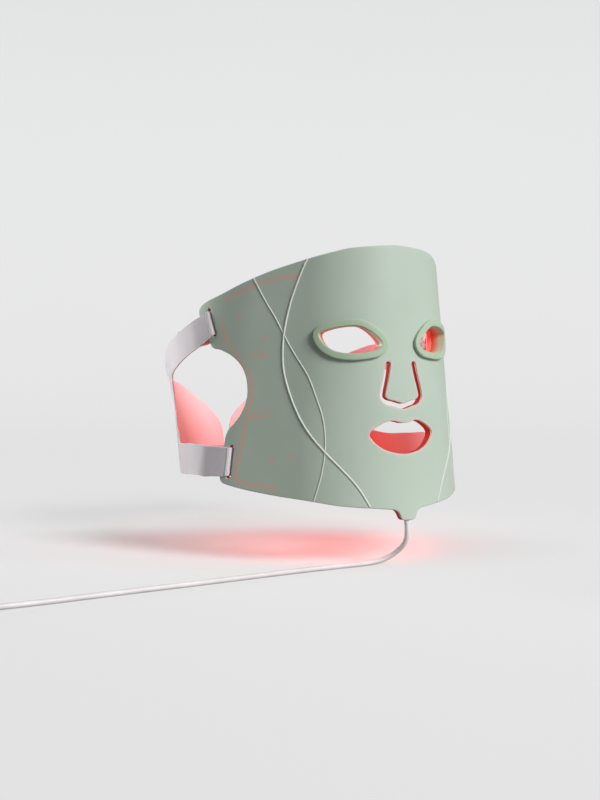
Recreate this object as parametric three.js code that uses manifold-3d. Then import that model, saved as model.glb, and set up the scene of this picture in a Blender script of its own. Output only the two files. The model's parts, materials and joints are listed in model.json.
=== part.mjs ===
import * as THREE from 'three';
import { mergeVertices } from 'three/addons/utils/BufferGeometryUtils.js';
import Module from 'manifold-3d';

const wasm = await Module();
wasm.setup();

// Lengths are in millimetres. The origin is the middle of the wearer's head, +Z is up, the face looks
// along -Y and the wearer's right is -X.

// Named sizes of the mask
const headDepth = 150; // from the front of the mask back to the middle of the head
const maskPitch = 5; // degrees that the top leans back
const frontRadius = 86; // of the curve over nose and cheeks
const frontTurn = 52; // degrees that each cheek has turned from the front
const frontFacets = 8; // on each side of the flat middle facet
const templeStart = 125; // arc length from the nose line to the curl of the temple
const templeRadius = 150;
const templeFacets = 5;
const templeTurn = 25; // degrees
const coneHeight = 800; // height of the point where the wall's straight lines would meet
const halfArc = 187; // arc length from the nose line to the tip of the upper strap tab
const halfHeight = 101.5; // from the middle of the mask to its top edge
const outerWall = 2; // outer silicone skin
const totalWall = 7; // both skins and what lies between them
const gap = 0.3; // left between neighbouring pieces
const innerFloor = 2.8; // sheet of the inner skin
const rimWidth = 2.6; // wall that joins the skins round every edge
const boardWall = 0.7; // flexible circuit
const lampSide = 3.2;
const lampHeight = 0.9;
const lampSpacing = 15; // grid of the lamps
const sameCorner = 1e-4; // corners closer than this are one
const tiny = 1e-5;
const flatness = 0.01; // how far a corner may move when flat faces are joined
const overrun = 1; // length that a cutting solid stands past the face it cuts

// Named sizes of openings and raised work
const eyeAcross = 43; // arc length from the nose line to the middle of an eye
const eyeUp = 29;
const eyeHalfWidth = 25;
const eyeHalfHeight = 10.5;
const eyeBorder = 5.2; // face of the rim round the eye
const eyeProud = 3; // how far the rim stands out of the skin
const eyeSleeve = 1.6; // wall of the rim's sleeve through the skins
const padThick = 5.2; // soft pad inside each eye
const padBorder = 7;
const mouthHalf = 29;
const mouthUp = -46; // middle of the mouth
const mouthHigh = 12.5; // half its height
const noseWidth = 4.4; // slit round the nose
const noseTop = 11.5;
const noseLow = -22;
const noseHalf = 18;
const ribHigh = 0.9;
const broadRib = 1.9;
const fineRib = 1.2;
const chinRoot = 7.6; // half width of the tab under the chin where it leaves the edge
const chinTip = 5;
const chinDrop = 8.8;

// Named sizes of the straps
const strapWide = 24;
const strapThick = 2;
const slotLong = 25.6;
const slotWide = 3.6;
const upperSlotTurn = -29; // degrees from level to the way the upper strap leaves
const lowerSlotTurn = 0;
const loopWall = 1.5;
const landClear = 1.3; // from the edge of the tab to where a loop's inner leg leaves it
const upperLoopRise = 7.9; // length over which the inner leg comes out to meet the outer one
const lowerLoopRise = 13.6;
const strapTilt = 12.5; // degrees that the straps' wall leans back
const strapSlack = 0.7; // between a loop's end and the strap half that swings from it
const strapLead = 4; // wall line of the straps ahead of the upper loop's end
const leaveTurn = 10; // degrees outward that a strap half starts with
const sideRadius = 115;
const inwardTurn = 24; // degrees inward on the straight run
const backRadius = 83;
const sideFacets = 5;
const backFacets = 8;
const backGap = 3.2; // half the gap between the strap halves
const closureLong = 46;
const closureWall = 1.4;
const tailLong = 30;
const tailWall = 1.2;

// Named sizes of the cord
const floorDown = 145; // from the middle of the head to the table
const cordWide = 4;
const coilTurns = 5.25;
const climbTurns = 0.5; // turns over which the coil climbs to its upper layer
const coilSpacing = 4.5;
const coilMiddle = 23; // radius at the middle of the turns
const coilLift = 1.3; // room under the coil for its tie
const coilX = -345;
const coilY = -119;
const coilSteps = 24;
const coilSides = 6;
const tieWide = 9;
const tieWall = 1;
const glandLong = 12;
const glandWide = 5;

// Named sizes of the hand controller
const caseWide = 42;
const caseLong = 92;
const caseHigh = 18;
const caseWall = 1.8;
const caseRound = 13;
const lightWide = 3;
const lightSink = 1; // how far the light reaches below the lid's wall
const postWall = 1; // round the bore of each screw
const postClear = 1.4; // from the case's wall to the widest of a screw post
const cordClear = 1; // round the cord where it enters
const caseFront = -60; // y of the end where the cord enters
const footHigh = 1;
const footWide = 7;
const boardThick = 1.2;
const boardSideClear = 1;
const boardEndClear = 3;
const boardNotch = 4; // room past each screw's head
const boardUp = 9.6; // underside of the controller's board above the case's underside
const cellHigh = 6.2;
const cellWide = 26;
const cellLong = 52;
const powerWide = 12;
const modeWide = 9;
const buttonProud = 0.8;
const buttonTravel = 0.5;
const buttonSlack = 0.3;
const collarWide = 1; // how far a button's collar stands out under the lid
const collarThick = 1;
const switchSide = 6;
const screwHead = 5;
const screwShank = 2.4;
const screwLong = 9;
const socketWide = 9;
const socketHigh = 3.3;
const socketLong = 7.3;
const relief = 14; // length of the controller's strain relief
const reliefTipWall = 0.8;
const reliefRootWall = 1.8;

const rad = THREE.MathUtils.degToRad;
const V2 = (x, y) => new THREE.Vector2(x, y);
const V3 = (x, y, z) => new THREE.Vector3(x, y, z);

// Materials, one made for each mesh
const colours = {
  skin: [0xb9c9b8, 0.62, 0],
  inner: [0xe9d9d4, 0.45, 0],
  board: [0xd9742e, 0.5, 0],
  rim: [0x9fb89f, 0.58, 0],
  pad: [0xd8cfc8, 0.6, 0],
  strap: [0xc9c2c4, 0.92, 0],
  hook: [0xb4adb0, 0.95, 0],
  cord: [0xd9d6d6, 0.55, 0],
  case: [0xe6e4e1, 0.5, 0],
  metal: [0xb9bcc0, 0.35, 0.9],
  circuit: [0x2f6b4a, 0.55, 0],
  cell: [0x8f98a3, 0.45, 0],
  rubber: [0x55585a, 0.9, 0],
  clear: [0xf2f2f2, 0.2, 0],
};

function mesh(name, geometry, colour) {
  const [color, roughness, metalness] = colours[colour];
  const made = new THREE.Mesh(geometry, new THREE.MeshStandardMaterial({ color, roughness, metalness }));
  made.name = name;
  return made;
}

// Solids for joining and cutting
function bare(geometry) {
  const plain = geometry.clone();
  for (const name of Object.keys(plain.attributes)) {
    if (name !== 'position') plain.deleteAttribute(name);
  }
  return mergeVertices(plain, sameCorner);
}

function solid(geometry) {
  const plain = bare(geometry);
  return new wasm.Manifold(new wasm.Mesh({
    numProp: 3,
    vertProperties: new Float32Array(plain.attributes.position.array),
    triVerts: new Uint32Array(plain.index.array),
  }));
}

function geometryOf(made) {
  const data = made.getMesh();
  const geometry = new THREE.BufferGeometry();
  geometry.setAttribute('position', new THREE.BufferAttribute(new Float32Array(data.vertProperties), 3));
  geometry.setIndex(new THREE.BufferAttribute(new Uint32Array(data.triVerts), 1));
  return geometry;
}

function joined(first, ...others) {
  return geometryOf(others.reduce((sum, next) => sum.add(solid(next)), solid(first)));
}

function cut(first, ...tools) {
  return geometryOf(tools.reduce((rest, tool) => rest.subtract(solid(tool)), solid(first)));
}

// A flat sheet from low to high, whose outline and holes are lists of points
function plate(outline, low, high) {
  const turned = THREE.ShapeUtils.isClockWise(outline) ? [...outline].reverse() : outline;
  const made = new THREE.ExtrudeGeometry(new THREE.Shape(turned), { depth: high - low, bevelEnabled: false });
  return made.translate(0, 0, low);
}

function sheet(outline, low, high, holes = []) {
  const tools = holes.map((hole) => plate(hole, low - overrun, high + overrun));
  return cut(plate(outline, low, high), ...tools);
}

function box(wide, long, high, x, y, z) {
  return new THREE.BoxGeometry(wide, long, high).translate(x, y, z);
}

function rod(radius, low, high, x, y, sides) {
  const made = new THREE.CylinderGeometry(radius, radius, high - low, sides);
  return made.rotateX(Math.PI / 2).translate(x, y, (low + high) / 2);
}

// Outlines
const smooth = (points, pieces) => new THREE.SplineCurve(points).getPoints(pieces);
const flip = (points) => points.map((p) => V2(-p.x, p.y)).reverse();

function shift(points, distance) {
  const turned = THREE.ShapeUtils.isClockWise(points) ? 1 : -1;
  return points.map((here, i) => {
    const before = points[(i + points.length - 1) % points.length];
    const after = points[(i + 1) % points.length];
    const a = here.clone().sub(before).normalize();
    const b = after.clone().sub(here).normalize();
    const way = V2(-(a.y + b.y), a.x + b.x).normalize();
    const stretch = distance / Math.max(0.5, way.dot(V2(-a.y, a.x)));
    return here.clone().addScaledVector(way, turned * stretch);
  });
}

function stroke(points, half, reach = 0) {
  const last = points.length - 1;
  const sides = [[], []];
  points.forEach((here, i) => {
    const a = here.clone().sub(points[Math.max(0, i - 1)]).normalize();
    const b = points[Math.min(last, i + 1)].clone().sub(here).normalize();
    const way = a.clone().add(b).normalize();
    const one = i === 0 ? b : a;
    const wide = half / Math.max(0.5, way.dot(one));
    const end = i === 0 ? -reach : i === last ? reach : 0;
    const at = here.clone().addScaledVector(way, end);
    sides[0].push(at.clone().add(V2(-way.y, way.x).multiplyScalar(wide)));
    sides[1].push(at.clone().add(V2(way.y, -way.x).multiplyScalar(wide)));
  });
  return [...sides[0], ...sides[1].reverse()];
}

function block(long, wide, turn, x, y) {
  const turned = V2(Math.cos(rad(turn)), Math.sin(rad(turn)));
  const side = V2(-turned.y, turned.x);
  const corners = [[-1, -1], [1, -1], [1, 1], [-1, 1]];
  return corners.map(([a, b]) => V2(x, y)
    .addScaledVector(turned, a * long / 2)
    .addScaledVector(side, b * wide / 2));
}

// A section is a row of facets. Each facet keeps its length when the flat sheet is bent to it.
function section(facets, start) {
  const breaks = [start];
  const points = [V2(0, 0)];
  for (const [length, heading] of facets) {
    const last = points[points.length - 1];
    breaks.push(breaks[breaks.length - 1] + length);
    points.push(V2(last.x + length * Math.cos(heading), last.y + length * Math.sin(heading)));
  }
  const mitres = points.map((_, i) => {
    const one = facets[Math.max(0, i - 1)][1];
    const two = facets[Math.min(facets.length - 1, i)][1];
    const middle = (one + two) / 2;
    const length = 1 / Math.cos((two - one) / 2);
    return V2(Math.sin(middle) * length, -Math.cos(middle) * length);
  });
  return { breaks, points, mitres };
}

function moved(made, x, y) {
  made.points.forEach((p) => p.add(V2(x, y)));
  return made;
}

// Cuts every triangle along the section's break lines, so that the sheet can bend there
function sliced(geometry, breaks) {
  const plain = bare(geometry).toNonIndexed().attributes.position;
  const corners = [];
  const crossing = (a, b, at) => {
    const [p, q] = a.x < b.x ? [a, b] : [b, a];
    const made = p.clone().lerp(q, (at - p.x) / (q.x - p.x));
    made.x = at;
    return made;
  };
  const beyond = (points, at, way) => points.flatMap((a, i) => {
    const b = points[(i + 1) % points.length];
    const [toA, toB] = [way * (a.x - at), way * (b.x - at)];
    const kept = toA > -tiny ? [a] : [];
    if (Math.min(toA, toB) <= -tiny && Math.max(toA, toB) > tiny) kept.push(crossing(a, b, at));
    return kept;
  });
  for (let i = 0; i < plain.count; i += 3) {
    let rest = [0, 1, 2].map((k) => new THREE.Vector3().fromBufferAttribute(plain, i + k));
    const low = Math.min(...rest.map((p) => p.x)) + tiny;
    const high = Math.max(...rest.map((p) => p.x)) - tiny;
    const pieces = breaks.filter((at) => at > low && at < high).map((at) => {
      const piece = beyond(rest, at, -1);
      rest = beyond(rest, at, 1);
      return piece;
    });
    for (const face of [...pieces, rest]) {
      for (let k = 1; k + 1 < face.length; k += 1) corners.push(face[0], face[k], face[k + 1]);
    }
  }
  return new THREE.BufferGeometry().setFromPoints(corners);
}

// Where a point of the flat sheet comes to lie when the sheet is bent. With a cone height the section
// shrinks towards the top.
function bentPoint(form, apex, along, up, out) {
  const last = form.breaks.length - 2;
  let facet = 0;
  while (facet < last && along > form.breaks[facet + 1]) facet += 1;
  const share = (along - form.breaks[facet]) / (form.breaks[facet + 1] - form.breaks[facet]);
  const at = form.points[facet].clone().lerp(form.points[facet + 1], share);
  const way = form.mitres[facet].clone().lerp(form.mitres[facet + 1], share);
  at.multiplyScalar(1 - up / apex).addScaledVector(way, out);
  return V3(at.x, at.y, up);
}

// Bends a flat sheet, drawn as x along the arc, y up and z outward, to a section
function bent(geometry, form, apex = Infinity) {
  const made = sliced(geometry, form.breaks);
  const place = made.attributes.position;
  for (let i = 0; i < place.count; i += 1) {
    const at = bentPoint(form, apex, place.getX(i), place.getY(i), place.getZ(i));
    place.setXYZ(i, at.x, at.y, at.z);
  }
  return geometryOf(solid(made).simplify(flatness));
}

function mirrored(geometry) {
  const made = bare(geometry);
  made.scale(-1, 1, 1);
  const index = made.index.array;
  for (let i = 0; i < index.length; i += 3) [index[i], index[i + 1]] = [index[i + 1], index[i]];
  return made;
}

// The mask's section, from the right temple through the nose line to the left temple
const step = rad(frontTurn) / frontFacets;
const frontStep = frontRadius * step;
const frontEnd = frontStep * (frontFacets - 0.5);
const templeStep = rad(templeTurn) / templeFacets;
const halfFacets = [];
for (let i = 1; i < frontFacets; i += 1) halfFacets.push([frontStep, i * step]);
halfFacets.push([templeStart - frontEnd, rad(frontTurn)]);
for (let i = 1; i <= templeFacets; i += 1) {
  halfFacets.push([templeRadius * templeStep, rad(frontTurn) + i * templeStep]);
}
const halfLength = halfFacets.reduce((sum, facet) => sum + facet[0], frontStep / 2);
const maskSection = section([
  ...halfFacets.map(([length, heading]) => [length, -heading]).reverse(),
  [frontStep, 0],
  ...halfFacets,
], -halfLength);
const noseIndex = maskSection.breaks.findIndex((value) => value > 0);
moved(maskSection, frontStep / 2 - maskSection.points[noseIndex].x, -maskSection.points[noseIndex].y);

const layer = {
  outer: [-outerWall, 0],
  board: [-outerWall - gap - boardWall, -outerWall - gap],
  lamp: [-outerWall - gap - boardWall - lampHeight, -outerWall - gap - boardWall / 2],
  floor: [-totalWall, -totalWall + innerFloor],
  rim: [-totalWall + innerFloor / 2, -outerWall - gap],
};

const onMask = (geometry) => bent(geometry, maskSection, coneHeight);

// Outline of the mask as shares of its half arc and half height, the wearer's left half
const topShares = [[0, 1], [0.14, 0.986], [0.25, 0.971], [0.35, 0.947], [0.46, 0.914], [0.62, 0.852],
  [0.765, 0.775], [0.866, 0.715], [0.936, 0.682]];
const tipShares = [[0.936, 0.682], [0.978, 0.652], [0.998, 0.614], [0.985, 0.565], [0.94, 0.452],
  [0.89, 0.34], [0.868, 0.297], [0.83, 0.283]];
const earShares = [[0.83, 0.283], [0.771, 0.234], [0.718, 0.158], [0.687, 0.071], [0.671, -0.03],
  [0.67, -0.113], [0.683, -0.203], [0.713, -0.292], [0.733, -0.33], [0.744, -0.38], [0.748, -0.464]];
const lowTipShares = [[0.75, -0.69], [0.748, -0.722], [0.735, -0.751]];
const bottomShares = [[0.735, -0.751], [0.657, -0.795], [0.578, -0.831], [0.49, -0.865], [0.413, -0.891],
  [0.358, -0.911], [0.265, -0.949], [0.154, -0.976], [0.0775, -0.994]];
const scaled = (shares) => shares.map(([a, b]) => V2(a * halfArc, b * halfHeight));
const bottomEdge = smooth(scaled(bottomShares), 12);
const chinEdge = bottomEdge[bottomEdge.length - 1];
const chinPoints = [V2(chinRoot, chinEdge.y - chinDrop * 0.18), V2(chinTip, chinEdge.y - chinDrop)];
const leftHalf = [
  ...smooth(scaled(topShares), 14).slice(1),
  ...smooth(scaled(tipShares), 12).slice(1),
  ...smooth(scaled(earShares), 18).slice(1),
  ...scaled(lowTipShares),
  ...bottomEdge.slice(1),
  ...chinPoints,
];
const maskOutline = [V2(0, halfHeight), ...leftHalf, ...flip(leftHalf)];
const tabBottom = chinPoints[1].y;

// Eye outline as shares of its half width and half height, from the outer corner upward
const eyeShares = [[0.97, 0.55], [0.62, 0.84], [0.02, 1], [-0.32, 0.93], [-0.68, 0.5], [-0.94, -0.1],
  [-1, -0.42], [-0.86, -0.78], [-0.5, -0.95], [0.02, -0.98], [0.5, -0.72], [0.84, -0.12]];

function closed(points, pieces) {
  const curve = new THREE.CatmullRomCurve3(points.map((p) => V3(p.x, p.y, 0)), true, 'centripetal');
  return curve.getPoints(pieces).slice(0, -1).map((p) => V2(p.x, p.y));
}

const eyeOpening = closed(eyeShares.map(([a, b]) => V2(
  eyeAcross + a * eyeHalfWidth,
  eyeUp + b * eyeHalfHeight,
)), 28);
const eyeHole = shift(eyeOpening, eyeSleeve + gap);
const mouthShares = [[0.98, 0.22], [0.8, 0.62], [0.4, 0.98], [0.06, 0.84], [-0.06, 0.84], [-0.4, 0.98],
  [-0.8, 0.62], [-0.98, 0.22], [-0.8, -0.42], [-0.5, -0.84], [0, -1.06], [0.5, -0.84], [0.8, -0.42]];
const mouthHole = closed(mouthShares.map(([a, b]) => V2(a * mouthHalf, mouthUp + b * mouthHigh)), 28);
const noseShares = [[0.68, 0], [0.79, -0.34], [0.95, -0.66], [0.97, -0.83], [0.72, -0.925], [0, -1.02]];
const noseHalfLine = noseShares.map(([a, b]) => V2(a * noseHalf, noseTop + b * (noseTop - noseLow)));
const noseLine = [...noseHalfLine, ...flip(noseHalfLine).slice(1)];
const noseHole = stroke(noseLine, noseWidth / 2);

// How far the edge of a tab lies from a point on it, the way that the strap leaves and over its width
function edgeBeyond(across, up, turn) {
  const turned = maskOutline.map((p) => V2(p.x - across, p.y - up).rotateAround(V2(0, 0), -rad(turn)));
  const side = strapWide / 2;
  const reached = turned.filter((p) => Math.abs(p.y) < side).map((p) => p.x);
  turned.forEach((a, i) => {
    const b = turned[(i + 1) % turned.length];
    for (const y of [-side, side]) {
      if ((a.y > y) !== (b.y > y)) reached.push(a.x + ((y - a.y) / (b.y - a.y)) * (b.x - a.x));
    }
  });
  return Math.max(...reached);
}

// The slots for the straps, with the middle of each as shares of the half arc and half height
const upperSlotShares = [0.8984, 0.5005];
const lowerSlotShares = [0.7123, -0.5872];
const slots = [
  ['upper', upperSlotShares, upperSlotTurn, upperLoopRise],
  ['lower', lowerSlotShares, lowerSlotTurn, lowerLoopRise],
].map(([name, shares, turn, rise]) => {
  const [{ x, y }] = scaled([shares]);
  const land = edgeBeyond(x, y, turn) + landClear;
  return [name, x, y, turn, land + rise, land];
});
const slotHoles = slots.flatMap(([, across, up, turn]) => {
  const hole = block(slotWide, slotLong, turn, across, up);
  return [hole, flip(hole)];
});

// Pocket in the chin tab for the cord's gland
const glandOut = -totalWall / 2;
const pocket = (spare) => box(
  glandWide + 2 * spare,
  glandLong + 2 * overrun,
  glandWide + 2 * spare,
  0,
  tabBottom + glandLong / 2 - overrun + spare,
  glandOut,
);

// Raised ribs, as shares of the half arc and half height
const broadShares = [[0.433, 0.9], [0.461, 0.81], [0.499, 0.62], [0.518, 0.455], [0.526, 0.3], [0.517, 0.12],
  [0.488, -0.056], [0.432, -0.279], [0.385, -0.41], [0.33, -0.533], [0.264, -0.669], [0.194, -0.834],
  [0.158, -0.96]];
const fineShares = [[0.69, 0.8], [0.625, 0.626], [0.563, 0.473], [0.522, 0.35], [0.466, 0.197], [0.403, 0.027],
  [0.362, -0.151], [0.335, -0.299], [0.325, -0.452], [0.326, -0.57], [0.335, -0.703], [0.35, -0.82],
  [0.361, -0.905]];

function rib(shares, wide, pieces) {
  const line = smooth(scaled(shares), pieces);
  return sheet(stroke(line, wide / 2), -outerWall / 2, ribHigh);
}

function outerSkin() {
  const flat = sheet(maskOutline, ...layer.outer, [
    eyeHole, flip(eyeHole), mouthHole, noseHole, ...slotHoles,
  ]);
  const ribs = [rib(broadShares, broadRib, 22), rib(fineShares, fineRib, 20)];
  const all = [...ribs, ...ribs.map(mirrored)];
  const made = solid(joined(flat, ...all)).subtract(solid(pocket(gap)));
  return onMask(geometryOf(made));
}

function innerSkin() {
  const holes = [eyeHole, flip(eyeHole), mouthHole, noseHole, ...slotHoles];
  const floor = sheet(maskOutline, ...layer.floor, holes);
  const walls = [sheet(maskOutline, ...layer.rim, [shift(maskOutline, -rimWidth)])];
  for (const hole of [eyeHole, flip(eyeHole), mouthHole, ...slotHoles]) {
    walls.push(sheet(shift(hole, rimWidth), ...layer.rim, [hole]));
  }
  walls.push(sheet(stroke(noseLine, noseWidth / 2 + rimWidth, rimWidth), ...layer.rim, [noseHole]));
  const made = solid(joined(floor, ...walls)).subtract(solid(pocket(gap)));
  return onMask(geometryOf(made));
}

// Flexible boards with their lamps, each outline as shares of the half arc and half height. A board lies
// between the walls that join the skins, and the nose board follows the width of the nose.
const boardShares = {
  forehead: [[-0.4, 0.87], [-0.2, 0.93], [0, 0.945], [0.2, 0.93], [0.4, 0.87], [0.4, 0.5], [0.3, 0.48],
    [0.1, 0.44], [-0.1, 0.44], [-0.3, 0.48], [-0.4, 0.5]],
  chin: [[-0.16, -0.66], [0.16, -0.66], [0.13, -0.925], [-0.13, -0.925]],
};
const noseBoardShares = [[-0.353, 0.415], [0.353, 0.415], [0.353, 0.1], [0.52, -0.1], [-0.52, -0.1],
  [-0.353, 0.1]];
const sideShares = {
  temple: [[0.43, 0.86], [0.6, 0.805], [0.74, 0.735], [0.8, 0.68], [0.8, 0.52], [0.755, 0.35], [0.69, 0.24],
    [0.645, 0.08], [0.635, -0.1], [0.645, -0.25], [0.675, -0.4], [0.675, -0.72], [0.43, -0.83]],
  cheek: [[0.14, 0.1], [0.3, 0.09], [0.41, 0.16], [0.41, -0.83], [0.17, -0.9], [0.19, -0.6], [0.19, -0.3],
    [0.14, -0.2]],
};

function inside(point, outline) {
  let within = false;
  outline.forEach((a, i) => {
    const b = outline[(i + 1) % outline.length];
    if ((a.y > point.y) === (b.y > point.y)) return;
    if (point.x < a.x + ((point.y - a.y) / (b.y - a.y)) * (b.x - a.x)) within = !within;
  });
  return within;
}

const wallClear = rimWidth + gap;
const keptOut = [eyeHole, flip(eyeHole), mouthHole, ...slotHoles].map((hole) => shift(hole, wallClear));
keptOut.push(stroke(noseLine, noseWidth / 2 + wallClear, wallClear));
const keptIn = shift(maskOutline, -wallClear);

function board(outline) {
  const rows = Math.floor(halfHeight / lampSpacing);
  const columns = Math.floor(halfArc / lampSpacing);
  const lamps = [];
  const room = shift(outline, -lampSide);
  const inner = shift(keptIn, -lampSide);
  for (let i = -columns; i <= columns; i += 1) {
    for (let j = -rows; j <= rows; j += 1) {
      const at = V2(i * lampSpacing, j * lampSpacing);
      const blocked = !inside(at, inner) || keptOut.some((hole) => inside(at, shift(hole, lampSide)));
      if (inside(at, room) && !blocked) {
        lamps.push(sheet(block(lampSide, lampSide, 0, at.x, at.y), ...layer.lamp));
      }
    }
  }
  const film = solid(sheet(outline, ...layer.board, keptOut)).intersect(solid(sheet(keptIn, ...layer.board)));
  return onMask(joined(geometryOf(film), ...lamps));
}

function eyeRim() {
  const face = sheet(shift(eyeOpening, eyeBorder), gap, eyeProud, [eyeOpening]);
  const sleeve = sheet(shift(eyeOpening, eyeSleeve), -totalWall, eyeProud / 2, [eyeOpening]);
  return onMask(joined(face, sleeve));
}

function eyePad() {
  const opening = shift(eyeOpening, gap);
  const high = -totalWall - gap;
  return onMask(sheet(shift(opening, padBorder), high - padThick, high, [opening]));
}

// A strap loop goes through its slot round the edge of the tab and is drawn flat with the mask
function strapLoop(across, up, turn, reach, land) {
  const out = gap;
  const inn = -totalWall - gap;
  const ring = [V2(-loopWall / 2, out + loopWall), V2(reach, out + loopWall), V2(reach, out - loopWall - gap),
    V2(land + loopWall / 2, inn - loopWall), V2(-loopWall / 2, inn - loopWall)];
  const eye = [V2(loopWall / 2, out), V2(reach - loopWall * 4, out), V2(land, inn), V2(loopWall / 2, inn)];
  const made = sheet(ring, -strapWide / 2, strapWide / 2, [eye]).rotateX(Math.PI / 2);
  return onMask(made.rotateZ(rad(turn)).translate(across, up, 0));
}

// Two corners where a loop ends, upper one first, in the frame that leans with the straps
function loopEnd(across, up, turn, reach, out) {
  const [cos, sin] = [Math.cos(rad(turn)), Math.sin(rad(turn))];
  return [strapWide / 2, -strapWide / 2].map((side) => bentPoint(
    maskSection,
    coneHeight,
    across + cos * reach - sin * side,
    up + sin * reach + cos * side,
    out,
  ).applyAxisAngle(V3(1, 0, 0), rad(strapTilt - maskPitch)));
}

// The straps' section, for the wearer's left half: arc length runs from the loops to the back
const endsAt = (out) => slots.map(([, across, up, turn, reach]) => loopEnd(across, up, turn, reach, out));
const [upperEnd] = endsAt(gap + loopWall / 2);
const hingeOut = (upperEnd[0].x + upperEnd[1].x) / 2;
const hingeBack = Math.min(...upperEnd.map((p) => p.y)) - strapLead;
const runStart = sideRadius * rad(leaveTurn + inwardTurn);
const arcEnd = V2(
  hingeOut - sideRadius * (Math.cos(rad(leaveTurn)) - Math.cos(rad(inwardTurn))),
  hingeBack + sideRadius * (Math.sin(rad(leaveTurn)) + Math.sin(rad(inwardTurn))),
);
const runLong = (arcEnd.x - backRadius * Math.cos(rad(inwardTurn))) / Math.sin(rad(inwardTurn));
const backTurn = 90 - inwardTurn;
const strapFacets = [];
for (let i = 0; i < sideFacets; i += 1) {
  const share = (i + 0.5) / sideFacets;
  strapFacets.push([runStart / sideFacets, rad(90 - leaveTurn + share * (leaveTurn + inwardTurn))]);
}
strapFacets.push([runLong, rad(90 + inwardTurn)]);
for (let i = 0; i < backFacets; i += 1) {
  const share = (i + 0.5) / backFacets;
  strapFacets.push([backRadius * rad(backTurn) / backFacets, rad(90 + inwardTurn + share * backTurn)]);
}
const strapHalf = strapFacets.reduce((sum, facet) => sum + facet[0], 0);
const strapSection = moved(section([...strapFacets, ...strapFacets
  .map(([length, heading]) => [length, Math.PI * 2 - heading]).reverse()], 0), hingeOut, hingeBack);
const onStrap = (geometry) => bent(geometry, strapSection);

// Outline of a strap half, as shares of its length and of the strap's width
const strapTopShares = [
  [0.116, 2.96], [0.221, 2.94], [0.347, 2.96], [0.509, 2.63], [0.651, 2.13], [0.788, 1.96],
  [0.857, 1.67], [0.902, 1.42], [0.942, 1.08], [0.971, 0.71], [0.984, 0.33], [0.987, -0.08],
];
const strapLowShares = [
  [0.987, -1.5], [0.833, -1.5], [0.63, -1.58], [0.468, -1.75], [0.29, -1.92], [0.0875, -2.2],
];
const strapEarShares = [[0.075, -1.25], [0.136, -1.125], [0.205, -0.92], [0.266, -0.79], [0.355, -0.6],
  [0.428, -0.25], [0.46, 0.33], [0.444, 1], [0.395, 1.5], [0.327, 1.75], [0.185, 1.75], [0.12, 1.83],
  [0.075, 1.92]];
const strapScaled = (shares) => shares.map(([a, b]) => V2(a * strapHalf, b * strapWide));
const fromEnd = (p) => V2((p.y - hingeBack) / Math.sin(strapFacets[0][1]) + strapSlack, p.z);
const [upperFront, lowerFront] = endsAt(-loopWall).map((end) => end.map(fromEnd));

function strap() {
  const top = smooth([upperFront[0], ...strapScaled(strapTopShares)], 18);
  const low = smooth([...strapScaled(strapLowShares), lowerFront[1]], 8);
  const ear = smooth([lowerFront[0], ...strapScaled(strapEarShares), upperFront[1]], 24);
  const end = strapHalf - backGap;
  const outline = [...top, ...low, ...ear].map((p) => V2(Math.min(p.x, end), p.y));
  return onStrap(sheet(outline, -strapThick / 2, strapThick / 2));
}

// Hook tail folded back inside each arm, and the hook patch that closes the two halves at the back
function strapTail([upper, lower], turn) {
  const low = -strapThick / 2 - gap - tailWall;
  const from = Math.max(upper.x, lower.x) + tailWall;
  const middle = (upper.y + lower.y) / 2 + (tailLong / 2) * Math.tan(rad(turn));
  const outline = block(tailLong, strapWide - 2 * tailWall, turn, from + tailLong / 2, middle);
  return onStrap(sheet(outline, low, low + tailWall));
}

function closure() {
  const low = -strapThick / 2 - gap - closureWall;
  const high = 0;
  const base = strapLowShares[0][1] * strapWide + closureWall;
  const outline = block(closureLong, high - base, 0, strapHalf, (high + base) / 2);
  return onStrap(sheet(outline, low, low + closureWall));
}

// Cord: where it leaves the chin tab, and its route from there as across, back and share of the drop
const cordUp = cordWide / 2 - floorDown;
const leanBack = (at) => at.applyAxisAngle(V3(1, 0, 0), -rad(maskPitch)).add(V3(0, -headDepth, 0));
const cordExit = leanBack(V3(0, -glandOut, tabBottom - gap));
const routeShares = [
  [0, 0, 1], [0.2, -0.5, 0.785], [0.2, -0.1, 0.604], [-1, 2.3, 0.423], [-3.8, 6.5, 0.26], [-8.6, 10.7, 0.121],
  [-16.5, 13.5, 0.03], [-29, 14.6, 0], [-51, 15.1, 0], [-86, 15.5, 0], [-129, 14.6, 0], [-174, 13.3, 0],
  [-213, 12.7, 0], [-251, 11.7, 0], [-287, 10.1, 0.006], [-312, 8.7, 0.021],
];
const leadPoints = [[0, 6, 0], [0.4, 15, 0.4], [0.4, 25, 1.6], [0, 34, 2.2]];

function tube(points, steps, sides, radius) {
  const curve = new THREE.CatmullRomCurve3(points, false, 'centripetal');
  const ring = [];
  for (let i = 0; i < sides; i += 1) {
    const turn = ((i + 0.5) / sides) * 2 * Math.PI;
    ring.push(V2(Math.cos(turn) * radius, Math.sin(turn) * radius));
  }
  return new THREE.ExtrudeGeometry(new THREE.Shape(ring), { steps, extrudePath: curve, bevelEnabled: false });
}

// The coil spirals in on the table, climbs a layer in the half turn where it reverses, and spirals out
const coilOut = coilMiddle + coilSpacing * coilTurns / 4;
const coilUp = cordUp + coilLift;
function coilPoint(turns) {
  const half = coilTurns / 2;
  const radius = coilOut - coilSpacing * (half - Math.abs(turns - half));
  const climb = THREE.MathUtils.clamp((turns - half) / climbTurns + 1 / 2, 0, 1);
  const turn = -Math.PI / 2 - turns * 2 * Math.PI;
  return V3(
    coilX + radius * Math.cos(turn),
    coilY + radius * Math.sin(turn),
    coilUp + coilSpacing * climb,
  );
}

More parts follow.
